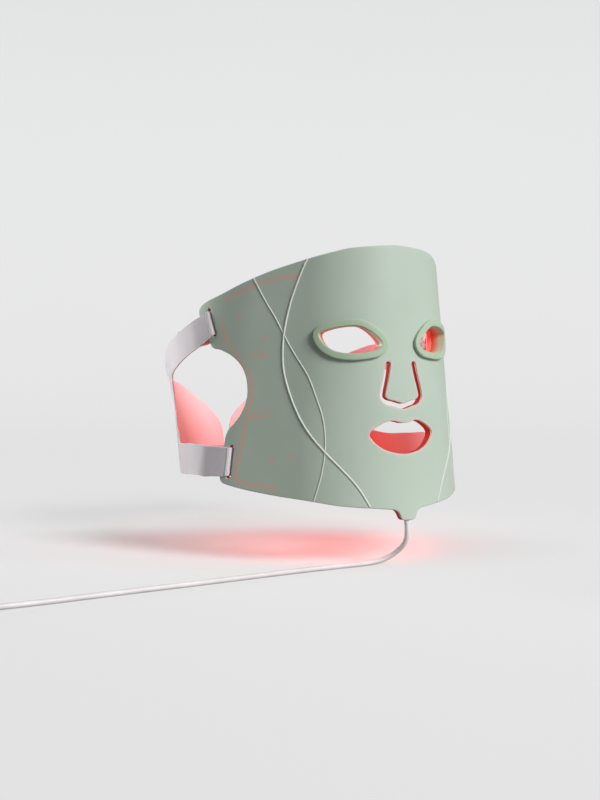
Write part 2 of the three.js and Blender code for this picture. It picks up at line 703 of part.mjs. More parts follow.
function coilLine() {
  const points = [];
  const count = Math.round(coilTurns * coilSteps);
  for (let i = 0; i <= count; i += 1) points.push(coilPoint(i / coilSteps));
  const first = points[0].clone().add(V3(cordWide, 0, 0));
  const last = points[count].clone().add(V3(0, cordWide, 0));
  return [first, ...points, last];
}

// One unbroken tube through a line of points, with a ring of corners at each
function woundTube(points, sides, radius) {
  const place = [];
  const faces = [];
  points.forEach((here, i) => {
    const before = points[Math.max(0, i - 1)];
    const after = points[Math.min(points.length - 1, i + 1)];
    const way = after.clone().sub(before).normalize();
    const across = V3(way.y, -way.x, 0).normalize();
    const up = across.clone().cross(way);
    for (let k = 0; k < sides; k += 1) {
      const turn = ((k + 0.5) / sides) * 2 * Math.PI;
      place.push(here.clone()
        .addScaledVector(across, Math.cos(turn) * radius)
        .addScaledVector(up, Math.sin(turn) * radius));
    }
  });
  for (let i = 0; i + 1 < points.length; i += 1) {
    for (let k = 0; k < sides; k += 1) {
      const [a, b] = [i * sides + k, i * sides + ((k + 1) % sides)];
      faces.push(a, a + sides, b, b, a + sides, b + sides);
    }
  }
  const end = (points.length - 1) * sides;
  for (let k = 1; k + 1 < sides; k += 1) faces.push(0, k, k + 1, end, end + k + 1, end + k);
  const made = new THREE.BufferGeometry().setFromPoints(place);
  made.setIndex(faces);
  return made;
}

function leastGap(points, width, apart) {
  let least = Infinity;
  points.forEach((a, i) => {
    for (let j = i + apart; j < points.length; j += 1) {
      least = Math.min(least, a.distanceTo(points[j]) - width);
    }
  });
  return least;
}

const coilPoints = coilLine();
console.log('least gap of the coil to itself, mm:', leastGap(coilPoints, cordWide, coilSteps / 2).toFixed(2));

function cordRun() {
  const drop = cordExit.z - cordUp;
  const points = routeShares.map(([x, y, share]) => V3(x, cordExit.y + y, cordUp + share * drop));
  points.push(coilPoints[0].clone().add(V3(gap, 0, 0)));
  return tube(points, 44, 8, cordWide / 2);
}

const leadStart = coilPoints[coilPoints.length - 1].clone().add(V3(0, gap, 0));
const reliefStart = V3(leadStart.x, caseFront - relief, caseHigh / 2 + footHigh - floorDown);
function cordLead() {
  const points = [leadStart];
  for (const [x, y, z] of leadPoints) points.push(leadStart.clone().add(V3(x, y, z)));
  points.push(reliefStart.clone().add(V3(0, -2 * gap, 0)));
  return tube(points, 10, 8, cordWide / 2);
}

function cordTie() {
  const inner = coilOut - coilSpacing * coilTurns / 2 - cordWide / 2 - tieWall;
  const outer = coilOut + cordWide / 2 + tieWall;
  const low = coilUp - cordWide / 2 - gap / 2;
  const high = coilUp + coilSpacing + cordWide / 2 + gap;
  const ring = block(outer - inner, high - low, 0, (outer + inner) / 2, (high + low) / 2);
  const made = sheet(shift(ring, tieWall), -tieWide / 2, tieWide / 2, [ring]);
  return made.rotateX(Math.PI / 2).rotateZ(Math.PI / 2).translate(coilX, coilY, 0);
}

// The gland holds the cord in the tab under the chin
function chinGland() {
  return rod(glandWide / 2, 0, glandLong, 0, -glandOut, 12).translate(0, 0, tabBottom);
}

// Hand controller, drawn with its underside at z 0 and its cord end at y 0
function roundBlock(wide, long, low, high, round) {
  const [x, y] = [wide / 2, long / 2];
  const shape = new THREE.Shape();
  shape.moveTo(-x + round, -y);
  shape.lineTo(x - round, -y);
  shape.absarc(x - round, -y + round, round, -Math.PI / 2, 0);
  shape.lineTo(x, y - round);
  shape.absarc(x - round, y - round, round, 0, Math.PI / 2);
  shape.lineTo(-x + round, y);
  shape.absarc(-x + round, y - round, round, Math.PI / 2, Math.PI);
  shape.lineTo(-x, -y + round);
  shape.absarc(-x + round, -y + round, round, Math.PI, Math.PI * 1.5);
  const made = new THREE.ExtrudeGeometry(shape, { depth: high - low, bevelEnabled: false, curveSegments: 6 });
  return made.translate(0, caseLong / 2, low);
}

const seam = caseHigh / 2;
const screwX = caseWide / 2 - caseWall - screwHead / 2 - postClear;
const postRadius = screwHead / 2 + postWall;
const screwY = [caseRound, caseLong - caseRound];
const screwPlaces = [];
for (const y of screwY) screwPlaces.push([-screwX, y], [screwX, y]);
const powerY = caseLong * 0.62;
const modeY = caseLong * 0.38;
const lightY = caseLong * 0.8;
const cordHole = cordWide / 2 + cordClear;
const socketUp = boardUp + boardThick + gap + socketHigh / 2;

function caseBottom() {
  const shell = cut(
    roundBlock(caseWide, caseLong, 0, seam - gap / 2, caseRound),
    roundBlock(caseWide - 2 * caseWall, caseLong - 2 * caseWall, caseWall, caseHigh, caseRound - caseWall),
  );
  const posts = screwPlaces.map(([x, y]) => rod(postRadius, caseWall / 2, boardUp - gap * 4, x, y, 12));
  const bores = screwPlaces.flatMap(([x, y]) => [
    rod(screwHead / 2 + gap, -overrun, caseWall + gap, x, y, 12),
    rod(screwShank / 2 + gap, -overrun, caseHigh, x, y, 12),
  ]);
  const entry = rod(cordHole + gap, -overrun, caseWall + overrun, 0, -seam, 12).rotateX(-Math.PI / 2);
  return cut(joined(shell, ...posts), ...bores, entry);
}

function caseTop() {
  const shell = cut(
    roundBlock(caseWide, caseLong, seam + gap / 2, caseHigh, caseRound),
    roundBlock(caseWide - 2 * caseWall, caseLong - 2 * caseWall, 0, caseHigh - caseWall, caseRound - caseWall),
  );
  const low = boardUp + boardThick + gap;
  const posts = screwPlaces.map(([x, y]) => rod(postRadius, low, caseHigh - caseWall / 2, x, y, 12));
  const bores = screwPlaces.map(([x, y]) => rod(screwShank / 2 + gap, 0, screwLong + gap * 4, x, y, 12));
  const holes = [
    rod(powerWide / 2 + buttonSlack, seam, caseHigh + overrun, 0, powerY, 24),
    rod(modeWide / 2 + buttonSlack, seam, caseHigh + overrun, 0, modeY, 20),
    rod(lightWide / 2 + gap, seam, caseHigh + overrun, 0, lightY, 12),
    rod(cordHole + gap, -overrun, caseWall + overrun, 0, -seam, 12).rotateX(-Math.PI / 2),
    box(socketWide + 2 * gap, 2 * overrun + caseWall * 2, socketHigh + 2 * gap, 0, caseLong, socketUp),
  ];
  return cut(joined(shell, ...posts), ...bores, ...holes);
}

function controllerBoard() {
  const wide = caseWide - 2 * (caseWall + boardSideClear);
  const long = caseLong - 2 * (caseWall + boardEndClear);
  const whole = box(wide, long, boardThick, 0, caseLong / 2, boardUp + boardThick / 2);
  const corner = screwHead + boardNotch;
  const cuts = screwPlaces.map(([x, y]) => box(corner * 2, corner * 2.4, caseHigh,
    x + Math.sign(x) * corner / 2, y + Math.sign(y - caseLong / 2) * corner, boardUp));
  return cut(whole, ...cuts);
}

const collarLow = caseHigh - caseWall - gap - collarThick;

function button(wide) {
  const cap = rod(wide / 2, caseHigh - caseWall - gap * 2, caseHigh + buttonProud, 0, 0, 24);
  const collar = rod(wide / 2 + collarWide, collarLow, collarLow + collarThick, 0, 0, 24);
  return joined(cap, collar);
}

function buttonSwitch() {
  const low = boardUp + boardThick + gap / 2;
  const high = collarLow - buttonTravel - gap;
  return box(switchSide, switchSide, high - low, 0, 0, (high + low) / 2);
}

function screw() {
  const head = rod(screwHead / 2, gap, caseWall, 0, 0, 12);
  return joined(head, rod(screwShank / 2, caseWall / 2, screwLong + gap * 3, 0, 0, 10));
}

function strainRelief() {
  const tip = cordWide / 2 + reliefTipWall;
  const root = cordWide / 2 + reliefRootWall;
  const profile = [V2(0, -relief), V2(tip, -relief), V2(root, -gap), V2(cordHole, -gap),
    V2(cordHole, caseWall), V2(0, caseWall)];
  return new THREE.LatheGeometry(profile, 16).translate(0, 0, caseHigh / 2);
}

// Assembly
const part = new THREE.Group();

const mask = new THREE.Group();
mask.position.set(0, -headDepth, 0);
mask.rotation.x = rad(-maskPitch);
mask.add(mesh('outer_skin', outerSkin(), 'skin'), mesh('inner_skin', innerSkin(), 'inner'));
for (const [name, shares] of Object.entries(boardShares)) {
  mask.add(mesh(`lamp_board_${name}`, board(scaled(shares)), 'board'));
}
const noseBoard = noseBoardShares.map(([a, b]) => V2(a * noseHalf, b * halfHeight));
mask.add(mesh('lamp_board_nose', board(noseBoard), 'board'));
for (const [name, shares] of Object.entries(sideShares)) {
  const made = board(scaled(shares));
  mask.add(mesh(`lamp_board_${name}_left`, made, 'board'));
  mask.add(mesh(`lamp_board_${name}_right`, mirrored(made), 'board'));
}
const rim = eyeRim();
const pad = eyePad();
mask.add(mesh('eye_rim_left', rim, 'rim'), mesh('eye_rim_right', mirrored(rim), 'rim'));
mask.add(mesh('eye_pad_left', pad, 'pad'), mesh('eye_pad_right', mirrored(pad), 'pad'));
for (const [name, ...size] of slots) {
  const made = strapLoop(...size);
  mask.add(mesh(`${name}_loop_left`, made, 'strap'), mesh(`${name}_loop_right`, mirrored(made), 'strap'));
}
mask.add(mesh('chin_gland', chinGland(), 'rubber'));
part.add(mask);

const straps = new THREE.Group();
straps.position.set(0, -headDepth, 0);
straps.rotation.x = rad(-strapTilt);
const half = strap();
straps.add(mesh('strap_left', half, 'strap'), mesh('strap_right', mirrored(half), 'strap'));
for (const [name, front, turn] of [['upper', upperFront, 5], ['lower', lowerFront, 9]]) {
  const made = strapTail(front, turn);
  straps.add(mesh(`${name}_tail_left`, made, 'hook'), mesh(`${name}_tail_right`, mirrored(made), 'hook'));
}
straps.add(mesh('back_closure', closure(), 'hook'));
part.add(straps);

part.add(mesh('cord', cordRun(), 'cord'));
part.add(mesh('cord_coil', woundTube(coilPoints, coilSides, cordWide / 2), 'cord'));
part.add(mesh('cord_lead', cordLead(), 'cord'));
part.add(mesh('cord_tie', cordTie(), 'hook'));

const controller = new THREE.Group();
controller.position.set(reliefStart.x, caseFront, footHigh - floorDown);
controller.add(mesh('controller_bottom', caseBottom(), 'case'), mesh('controller_top', caseTop(), 'case'));
controller.add(mesh('controller_board', controllerBoard(), 'circuit'));
controller.add(mesh('battery_cell', box(cellWide, cellLong, cellHigh, 0, caseLong / 2,
  caseWall + gap + cellHigh / 2), 'cell'));
for (const [name, wide, y] of [['power', powerWide, powerY], ['mode', modeWide, modeY]]) {
  controller.add(mesh(`${name}_button`, button(wide).translate(0, y, 0), 'rubber'));
  controller.add(mesh(`${name}_switch`, buttonSwitch().translate(0, y, 0), 'metal'));
}
controller.add(mesh('charge_socket', box(socketWide, socketLong, socketHigh, 0,
  caseLong - socketLong / 2 - gap, socketUp), 'metal'));
const light = rod(lightWide / 2, caseHigh - caseWall - lightSink, caseHigh, 0, lightY, 12);
controller.add(mesh('status_light', light, 'clear'));
screwPlaces.forEach(([x, y], i) => {
  controller.add(mesh(`case_screw_${i + 1}`, screw().translate(x, y, 0), 'metal'));
  const footY = y + Math.sign(y - caseLong / 2) * footWide * 0.2;
  const foot = rod(footWide / 2, -footHigh, -gap / 2, x * 0.6, footY, 12);
  controller.add(mesh(`foot_${i + 1}`, foot, 'rubber'));
});
controller.add(mesh('cord_relief', strainRelief(), 'rubber'));
part.add(controller);

export default part;
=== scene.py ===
import json
from collections import namedtuple
from math import copysign, cos, floor, pi, radians, sin, tan

import bpy
import numpy as np
from mathutils import Matrix, Vector, geometry
from numpy.linalg import norm

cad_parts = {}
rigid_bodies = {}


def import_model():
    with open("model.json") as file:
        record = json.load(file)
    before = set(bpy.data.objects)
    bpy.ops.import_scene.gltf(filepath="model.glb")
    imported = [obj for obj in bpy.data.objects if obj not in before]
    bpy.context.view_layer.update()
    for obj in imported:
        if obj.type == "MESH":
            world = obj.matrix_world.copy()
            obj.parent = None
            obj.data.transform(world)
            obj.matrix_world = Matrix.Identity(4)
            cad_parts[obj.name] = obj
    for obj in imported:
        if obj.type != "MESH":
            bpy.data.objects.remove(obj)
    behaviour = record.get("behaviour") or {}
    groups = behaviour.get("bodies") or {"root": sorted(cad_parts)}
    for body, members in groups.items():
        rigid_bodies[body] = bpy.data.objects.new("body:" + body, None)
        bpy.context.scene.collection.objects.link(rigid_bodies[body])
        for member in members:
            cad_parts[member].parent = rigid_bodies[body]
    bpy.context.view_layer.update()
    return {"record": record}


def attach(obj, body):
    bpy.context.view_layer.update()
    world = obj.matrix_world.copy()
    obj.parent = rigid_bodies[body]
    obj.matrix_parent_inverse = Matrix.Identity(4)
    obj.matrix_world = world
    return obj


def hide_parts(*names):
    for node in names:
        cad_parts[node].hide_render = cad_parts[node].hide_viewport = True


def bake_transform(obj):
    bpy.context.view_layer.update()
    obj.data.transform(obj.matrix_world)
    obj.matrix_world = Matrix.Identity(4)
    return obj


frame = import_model()
scene = bpy.context.scene

# Lengths are in millimetres, and MM turns them into metres. Only camera, lights and materials use metres.
MM = 0.001
TABLE = -145.0
UP = Vector((0, 0, 1))


def add_object(name, data):
    made = bpy.data.objects.new(name, data)
    scene.collection.objects.link(made)
    return made


# Camera
CAMERA_PLACE = Vector((-0.5373, -0.8816, 0.0239))
CAMERA_AZIMUTH = radians(-31.329)
CAMERA_RISE = radians(2.657)


def add_camera(back, right):
    data = bpy.data.cameras.new("camera")
    data.lens = 70.766
    data.sensor_width = 36.0
    data.sensor_fit = "HORIZONTAL"
    data.clip_start, data.clip_end = 0.05, 50.0
    camera = add_object("camera", data)
    turn = Matrix((right, back.cross(right), back)).transposed()
    camera.matrix_world = Matrix.Translation(CAMERA_PLACE) @ turn.to_4x4()
    scene.camera = camera


level_back = Vector((sin(CAMERA_AZIMUTH), -cos(CAMERA_AZIMUTH), 0))
view_back = level_back * cos(CAMERA_RISE) + UP * sin(CAMERA_RISE)
add_camera(view_back, Vector((cos(CAMERA_AZIMUTH), sin(CAMERA_AZIMUTH), 0)))
scene.view_settings.view_transform = "Standard"


# Material helpers
MIX_INPUTS = (0, 6, 7)
MIX_RESULT = 2


def linear(colour):
    """The linear parts of an opaque screen colour, given as three numbers up to 255."""
    parts = (x / 255 for x in colour)
    return [*(c / 12.92 if c <= 0.04045 else ((c + 0.055) / 1.055) ** 2.4 for c in parts), 1]


def fill(node, **values):
    for key, value in values.items():
        node.inputs[key.replace("_", " ")].default_value = value


class Nodes:
    """A material with one principled shader. A source is a node with the name of its output."""

    def __init__(self, name, colour, rough, **more):
        self.mat = bpy.data.materials.new(name)
        self.mat.use_nodes = True
        self.tree = self.mat.node_tree
        self.tree.nodes.clear()
        self.out = self.add("OutputMaterial")
        self.shader = self.add("BsdfPrincipled")
        self.feed((self.shader, "BSDF"), self.out, "Surface")
        fill(self.shader, Base_Color=linear(colour), Roughness=rough, **more)
        self.mat.diffuse_color = linear(colour)

    def add(self, kind, **more):
        node = self.tree.nodes.new("ShaderNode" + kind)
        for key, value in more.items():
            setattr(node, key, value)
        return node

    def feed(self, source, node, socket):
        self.tree.links.new(source[0].outputs[source[1]], node.inputs[socket])

    def put(self, value, node, socket):
        """Feeds a source to a socket, or sets a colour or a number there."""
        if isinstance(value, tuple) and isinstance(value[0], bpy.types.Node):
            self.feed(value, node, socket)
        elif isinstance(value, tuple):
            node.inputs[socket].default_value = linear(value)
        else:
            node.inputs[socket].default_value = value

    def object_place(self):
        return self.add("TexCoord"), "Object"

    def attribute(self, name, output):
        return self.add("Attribute", attribute_name=name), output

    def split(self, source):
        node = self.add("SeparateXYZ")
        self.feed(source, node, "Vector")
        return node

    def noise(self, scale, detail=2.0, rough=0.5, stretch=None):
        source = self.object_place()
        if stretch:
            mapping = self.add("Mapping")
            fill(mapping, Scale=stretch)
            self.feed(source, mapping, "Vector")
            source = (mapping, "Vector")
        node = self.add("TexNoise")
        fill(node, Scale=scale, Detail=detail, Roughness=rough)
        self.feed(source, node, "Vector")
        return node, "Fac"

    def bands(self, source, direction, scale):
        node = self.add("TexWave", wave_type="BANDS", bands_direction=direction)
        fill(node, Scale=scale)
        self.feed(source, node, "Vector")
        return node, "Fac"

    def ramp(self, source, stops):
        node = self.add("ValToRGB")
        while len(node.color_ramp.elements) < len(stops):
            node.color_ramp.elements.new(0.5)
        for element, (at, colour) in zip(node.color_ramp.elements, stops):
            element.position = at
            element.color = linear(colour)
        self.feed(source, node, "Fac")
        return node, "Color"

    def mottle(self, source, dark, pale):
        return self.ramp(source, [(0.3, dark), (0.7, pale)])

    def mix(self, share, a, b):
        node = self.add("Mix", data_type="RGBA")
        for socket, value in zip(MIX_INPUTS, (share, a, b)):
            self.put(value, node, socket)
        return node, MIX_RESULT

    def math(self, operation, *values, clamp=False):
        node = self.add("Math", operation=operation, use_clamp=clamp)
        for socket, value in enumerate(values):
            self.put(value, node, socket)
        return node, "Value"

    def colour(self, source):
        self.feed(source, self.shader, "Base Color")

    def rough(self, source, low, high):
        node = self.add("MapRange")
        fill(node, To_Min=low, To_Max=high)
        self.feed(source, node, "Value")
        self.feed((node, "Result"), self.shader, "Roughness")

    def bump(self, source, strength, distance):
        node = self.add("Bump")
        fill(node, Strength=strength, Distance=distance)
        self.feed(source, node, "Height")
        self.feed((node, "Normal"), self.shader, "Normal")

    def glow(self, source, strength):
        self.feed(source, self.shader, "Emission Color")
        fill(self.shader, Emission_Strength=strength)


# Materials. The attribute flat is a point's place on its unrolled wall, in metres, with Z out of the wall.
BLACK = (0, 0, 0)
LAMP_SPACING = 0.015
INNER_FACE = -0.0064
STRAP_INSIDE = -0.00035
CHEEK_ON_STRAP = (0.125, -0.03, 0)


def silicone_grain(made, low, high):
    fine = made.noise(900.0)
    made.rough(fine, low, high)
    made.bump(fine, strength=0.12, distance=0.00015)


def silicone(name, dark, pale, rough=0.5):
    made = Nodes(name, pale, rough, Specular_IOR_Level=0.35, Sheen_Weight=0.12)
    made.colour(made.mottle(made.noise(18.0, detail=3.0), dark, pale))
    silicone_grain(made, rough - 0.06, rough + 0.1)
    return made


def skin_material():
    """Outer silicone, with painted glow along the traces of the circuits and painted light at the lit edges
    of its openings.
    """
    made = Nodes("silicone_skin", (196, 204, 190), 0.5, Specular_IOR_Level=0.35, Sheen_Weight=0.1)
    tone = made.mottle(made.noise(14.0, detail=3.0), (178, 193, 178), (185, 199, 185))
    # Painted glow: along the circuits' traces and spots the skin gets a warm colour and a red glow, which
    # stand in for the inner lamps' light shining through the silicone.
    trace_glow = made.attribute("trace_glow", "Fac")
    edge = made.attribute("lit_edge", "Fac")
    made.colour(made.mix(edge, made.mix(trace_glow, tone, (226, 158, 142)), (250, 202, 192)))
    total = made.math("ADD", made.math("MULTIPLY", trace_glow, 0.2), made.math("MULTIPLY", edge, 0.45), clamp=True)
    made.glow(made.mix(total, BLACK, (255, 96, 78)), 0.35)
    silicone_grain(made, 0.46, 0.6)
    return made


def rim_material():
    """Silicone of the eye rims, with painted red light and a painted red glow that grow the deeper it lies in
    the opening, towards the inner lamps.
    """
    made = silicone("silicone_rim", (166, 186, 160), (176, 195, 169), 0.48)
    before = made.shader.inputs["Base Color"].links[0]
    # Painted light: deeper in the opening the rim turns red and glows, standing in for the red light of the
    # inner lamps.
    glow_depth = made.add("MapRange", interpolation_type="SMOOTHSTEP")
    fill(glow_depth, From_Min=-0.0005, From_Max=-0.0065)
    made.feed((made.split(made.attribute("flat", "Vector")), "Z"), glow_depth, "Value")
    share = (glow_depth, "Result")
    made.colour(made.mix(share, (before.from_node, before.from_socket.name), (186, 92, 66)))
    made.glow(made.mix(share, BLACK, (150, 34, 14)), 0.3)
    return made


def inner_material():
    """Inner silicone: a grid of lamps shines on the face's side, with a painted red glow spread over the
    silicone between the lamps, and the walls of the openings are dark with painted shade and a dim painted
    red glow.
    """
    made = Nodes("silicone_inner", (236, 150, 142), 0.35, Specular_IOR_Level=0.3)
    place = made.split(made.attribute("flat", "Vector"))
    squares = []
    for axis in ("X", "Y"):
        off = made.math("PINGPONG", made.math("MULTIPLY", (place, axis), 1 / LAMP_SPACING), 0.5)
        squares.append(made.math("MULTIPLY", off, off))
    from_lamp = made.math("SQRT", made.math("ADD", *squares))
    # The bright spots are the lamps themselves. The red glow spread over the silicone between them is painted
    # glow.
    lamps = made.ramp(from_lamp, [(0.0, (255, 178, 164)), (0.13, (255, 120, 106)), (0.3, (240, 84, 74)),
                                  (0.6, (222, 66, 60))])
    # Off the face side, on the walls of the openings, a dark colour is painted shade and a dim red glow is
    # painted glow.
    behind = made.math("LESS_THAN", (place, "Z"), INNER_FACE)
    made.glow(made.mix(behind, (116, 20, 14), lamps), 0.7)
    sheet = made.mottle(made.noise(30.0), (226, 128, 120), (238, 150, 142))
    made.colour(made.mix(behind, (150, 58, 52), sheet))
    dull = made.math("ADD", made.math("MULTIPLY", behind, -0.55), 0.9)
    made.feed(dull, made.shader, "Roughness")
    made.bump(made.noise(700.0), strength=0.1, distance=0.0001)
    return made


def strap_material():
    """Woven elastic; on the inside, a painted red light and a painted red glow, strongest opposite the cheek,
    stand in for the lamps of the cheek shining on it.
    """
    made = Nodes("woven_elastic", (205, 199, 203), 0.85, Sheen_Weight=0.35, Sheen_Roughness=0.5)
    flat = made.attribute("flat", "Vector")
    ribs = made.bands(flat, "X", 330.0)
    fill(ribs[0], Distortion=0.35, Detail_Scale=40.0)
    weave = made.math("MULTIPLY", ribs, made.math("ADD", made.bands(flat, "Y", 420.0), 0.6))
    fuzz = made.noise(2500.0, detail=3.0, rough=0.7)
    both = made.math("ADD", made.math("MULTIPLY", weave, 0.6), made.math("MULTIPLY", fuzz, 0.5))
    cloth = made.ramp(both, [(0.2, (202, 195, 200)), (0.9, (228, 223, 226))])
    # Painted light: the inside of the strap gets a red colour and a red glow, strongest opposite the cheek,
    # standing in for the light of the cheek's lamps.
    inside = made.math("LESS_THAN", (made.split(flat), "Z"), STRAP_INSIDE)
    reach = made.add("VectorMath", operation="DISTANCE")
    reach.inputs[1].default_value = CHEEK_ON_STRAP
    made.feed(flat, reach, 0)
    away = (reach, "Value")
    painted_red_light = made.ramp(away, [(0.0, (222, 84, 74)), (0.07, (190, 128, 125)), (0.112, (236, 206, 208))])
    light = made.mix(made.ramp(away, [(0.0, (255, 255, 255)), (0.105, BLACK)]), BLACK, (170, 22, 14))
    made.colour(made.mix(inside, cloth, painted_red_light))
    made.glow(made.mix(inside, BLACK, light), 0.22)
    made.bump(both, strength=0.25, distance=0.0002)
    return made


def hook_material():
    made = Nodes("hook_tape", (186, 180, 183), 0.95)
    cells = made.add("TexVoronoi")
    fill(cells, Scale=900.0)
    made.feed(made.object_place(), cells, "Vector")
    hooks = (cells, "Distance")
    made.colour(made.ramp(hooks, [(0.0, (150, 144, 148)), (0.6, (200, 195, 198))]))
    made.bump(hooks, strength=0.7, distance=0.0004)
    return made


def cord_material():
    made = Nodes("cord_jacket", (226, 222, 222), 0.45, Specular_IOR_Level=0.4)
    made.colour(made.mottle(made.noise(60.0, detail=3.0), (216, 211, 211), (230, 227, 226)))
    made.rough(made.noise(300.0), 0.38, 0.55)
    made.bump(made.noise(1500.0), strength=0.08, distance=0.0001)
    return made


def plastic(name, dark, pale, rough, grain=1400.0):
    made = Nodes(name, pale, rough, Specular_IOR_Level=0.45)
    made.colour(made.mottle(made.noise(25.0, detail=3.0), dark, pale))
    fine = made.noise(grain)
    made.rough(fine, rough - 0.05, rough + 0.08)
    made.bump(fine, strength=0.15, distance=0.0002)
    return made


def metal(name, colour, rough):
    made = Nodes(name, colour, rough, Metallic=1.0)
    streaks = made.noise(500.0, stretch=(1, 1, 12))
    made.rough(streaks, rough - 0.08, rough + 0.12)
    made.bump(streaks, strength=0.1, distance=0.00008)
    return made


LOOKS = {
    "skin": skin_material(),
    "inner": inner_material(),
    "rim": rim_material(),
    "pad": silicone("silicone_pad", (214, 120, 108), (226, 136, 122)),
    "rib": silicone("silicone_rib", (206, 212, 202), (216, 221, 212), 0.45),
    "strap": strap_material(),
    "hook": hook_material(),
    "cord": cord_material(),
    "case": plastic("case_plastic", (222, 220, 217), (231, 229, 226), 0.42),
    "board": plastic("film_circuit", (196, 104, 44), (214, 122, 56), 0.4, 300.0),
    "circuit": plastic("solder_mask", (38, 92, 62), (48, 108, 74), 0.4, 300.0),
    "cell": plastic("foil_pouch", (150, 154, 160), (176, 180, 186), 0.35, 200.0),
    "key": silicone("silicone_key", (158, 176, 152), (168, 186, 162)),
    "foot": plastic("soft_rubber", (176, 176, 174), (192, 192, 190), 0.7),
    "metal": metal("plain_steel", (196, 198, 202), 0.35),
    "clear": plastic("light_pipe", (240, 240, 240), (248, 248, 248), 0.2),
}

for entry in frame["record"]["subparts"]:
    held = bpy.data.objects[entry["node"]]
    held.data.materials.clear()
    held.data.materials.append(LOOKS[entry["material_slot"]].mat)


# Cord: from the chin to the table, into the coil on the table, and on to the controller
CORD_RADIUS = 2.0
CORD_UP = TABLE + CORD_RADIUS
COIL_X = -345
COIL_Y = -119
COIL_RADIUS = 23
COIL_TURNS = 5.25
COIL_STEPS = 22
COIL_PITCH = 4.5
COIL_LIFT = 1.3
COIL_LEAD = 4
CASE_INLET = (-373.9, -74.8, -135.0)
exit_at = Vector((0.0, -156.1, -109.9))

# Across, back from the exit, and the share of the drop that is left
cord_route = [
    (0, 0, 1), (0.2, -0.5, 0.785), (0.2, -0.1, 0.604), (-1, 2.3, 0.423), (-3.8, 6.5, 0.26),
    (-8.6, 10.7, 0.121), (-16.5, 13.5, 0.03), (-29, 14.6, 0), (-51, 15.1, 0), (-86, 15.5, 0),
    (-129, 14.6, 0), (-174, 13.3, 0), (-213, 12.7, 0), (-251, 11.7, 0), (-287, 10.1, 0.006),
    (-312, 8.7, 0.021),
]
lead_start = Vector((-373.9, -114.7, -137.2))
lead_route = [(0, 6, 0), (0.4, 15, 0.4), (0.4, 25, 1.6), (0, 34, 2.2)]


def coil_points():
    """Turns that spiral in on the table, climb one layer half way, and spiral out on top."""
    half = COIL_TURNS / 2
    points = []
    for step in range(int(COIL_TURNS * COIL_STEPS) + 1):
        t = step / COIL_STEPS
        climb = min(max(2 * (t - half) + 0.5, 0), 1)
        inward = COIL_PITCH * (half - abs(t - half))
        radius = COIL_RADIUS + COIL_PITCH * half / 2 - inward
        turn = -pi / 2 - 2 * pi * t
        points.append((COIL_X + radius * cos(turn), COIL_Y + radius * sin(turn),
                       CORD_UP + COIL_LIFT + COIL_PITCH * climb))
    return points


def cord_points():
    drop = exit_at.z - CORD_UP
    line = [(x, exit_at.y + y, CORD_UP + share * drop) for x, y, share in cord_route]
    coil = coil_points()
    (ax, ay, az), (bx, by, bz) = coil[0], coil[-1]
    line += [(ax + COIL_LEAD, ay, az), *coil, (bx, by + COIL_LEAD, bz)]
    line += [tuple(lead_start + Vector(step)) for step in lead_route]
    return [*line, CASE_INLET]


def add_cord(line):
    data = bpy.data.curves.new("cord_line", "CURVE")
    data.dimensions = "3D"
    spline = data.splines.new("BEZIER")
    spline.bezier_points.add(len(line) - 1)
    for point, place in zip(spline.bezier_points, line):
        point.co = Vector(place) * MM
        point.handle_left_type = point.handle_right_type = "AUTO"
    data.bevel_depth = CORD_RADIUS * MM
    data.bevel_resolution = 5
    data.resolution_u = 5
    data.use_fill_caps = True
    data.materials.append(LOOKS["cord"].mat)
    return add_object("cord_line", data)


cord_path = cord_points()
cord = add_cord(cord_path)
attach(cord, "mask")
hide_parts("cord", "cord_coil", "cord_lead")


# Outlines on a flat wall
SMOOTH_STEPS = 24


def go(a, b, start, end, t):
    """The place at t on the way from a, at start, to b, at end."""
    return (end - t) / (end - start) * a + (t - start) / (end - start) * b


def smooth(points, step, closed=False):
    """An even row of points on the curve through the given ones."""
    pts = [np.array(p, float) for p in points]
    if closed:
        pts = [pts[-1], *pts, pts[0], pts[1]]
    else:
        pts = [2 * pts[0] - pts[1], *pts, 2 * pts[-1] - pts[-2]]
    dense = []
    for i in range(1, len(pts) - 2):
        p0, p1, p2, p3 = pts[i - 1:i + 3]
        t1 = norm(p1 - p0) ** 0.5
        t2 = t1 + norm(p2 - p1) ** 0.5
        t3 = t2 + norm(p3 - p2) ** 0.5
        for t in np.linspace(t1, t2, SMOOTH_STEPS, endpoint=False):
            a = go(p0, p1, 0, t1, t)
            b = go(p1, p2, t1, t2, t)
            c = go(p2, p3, t2, t3, t)
            dense.append(go(go(a, b, 0, t2, t), go(b, c, t1, t3, t), t1, t2, t))
    dense.append(pts[-2])
    return resample(np.array(dense), step, closed)


def resample(line, step, closed=False):
    lengths = run_of(line)
    count = max(4, round(lengths[-1] / step))
    at = np.linspace(0, lengths[-1], count + 1)
    out = np.stack([np.interp(at, lengths, line[:, k]) for k in range(line.shape[1])], axis=1)
    return out[:-1] if closed else out


def run_of(line):
    """The length along the line up to each of its points."""
    return np.concatenate([[0], np.cumsum(norm(np.diff(line, axis=0), axis=1))])


def at_height(points, height):
    return np.column_stack([points, np.full(len(points), height)])


def relax(ring, times):
    for _ in range(times):
        ring = ring * 0.5 + (np.roll(ring, 1, axis=0) + np.roll(ring, -1, axis=0)) * 0.25
    return ring


def flip(ring):
    return (ring * [-1, 1])[::-1]


def area(ring):
    after = np.roll(ring, -1, axis=0)
    return 0.5 * np.sum(ring[:, 0] * after[:, 1] - after[:, 0] * ring[:, 1])


def ccw(ring):
    return ring if area(ring) > 0 else ring[::-1]


def unit(ways):
    return ways / norm(ways, axis=1)[:, None]


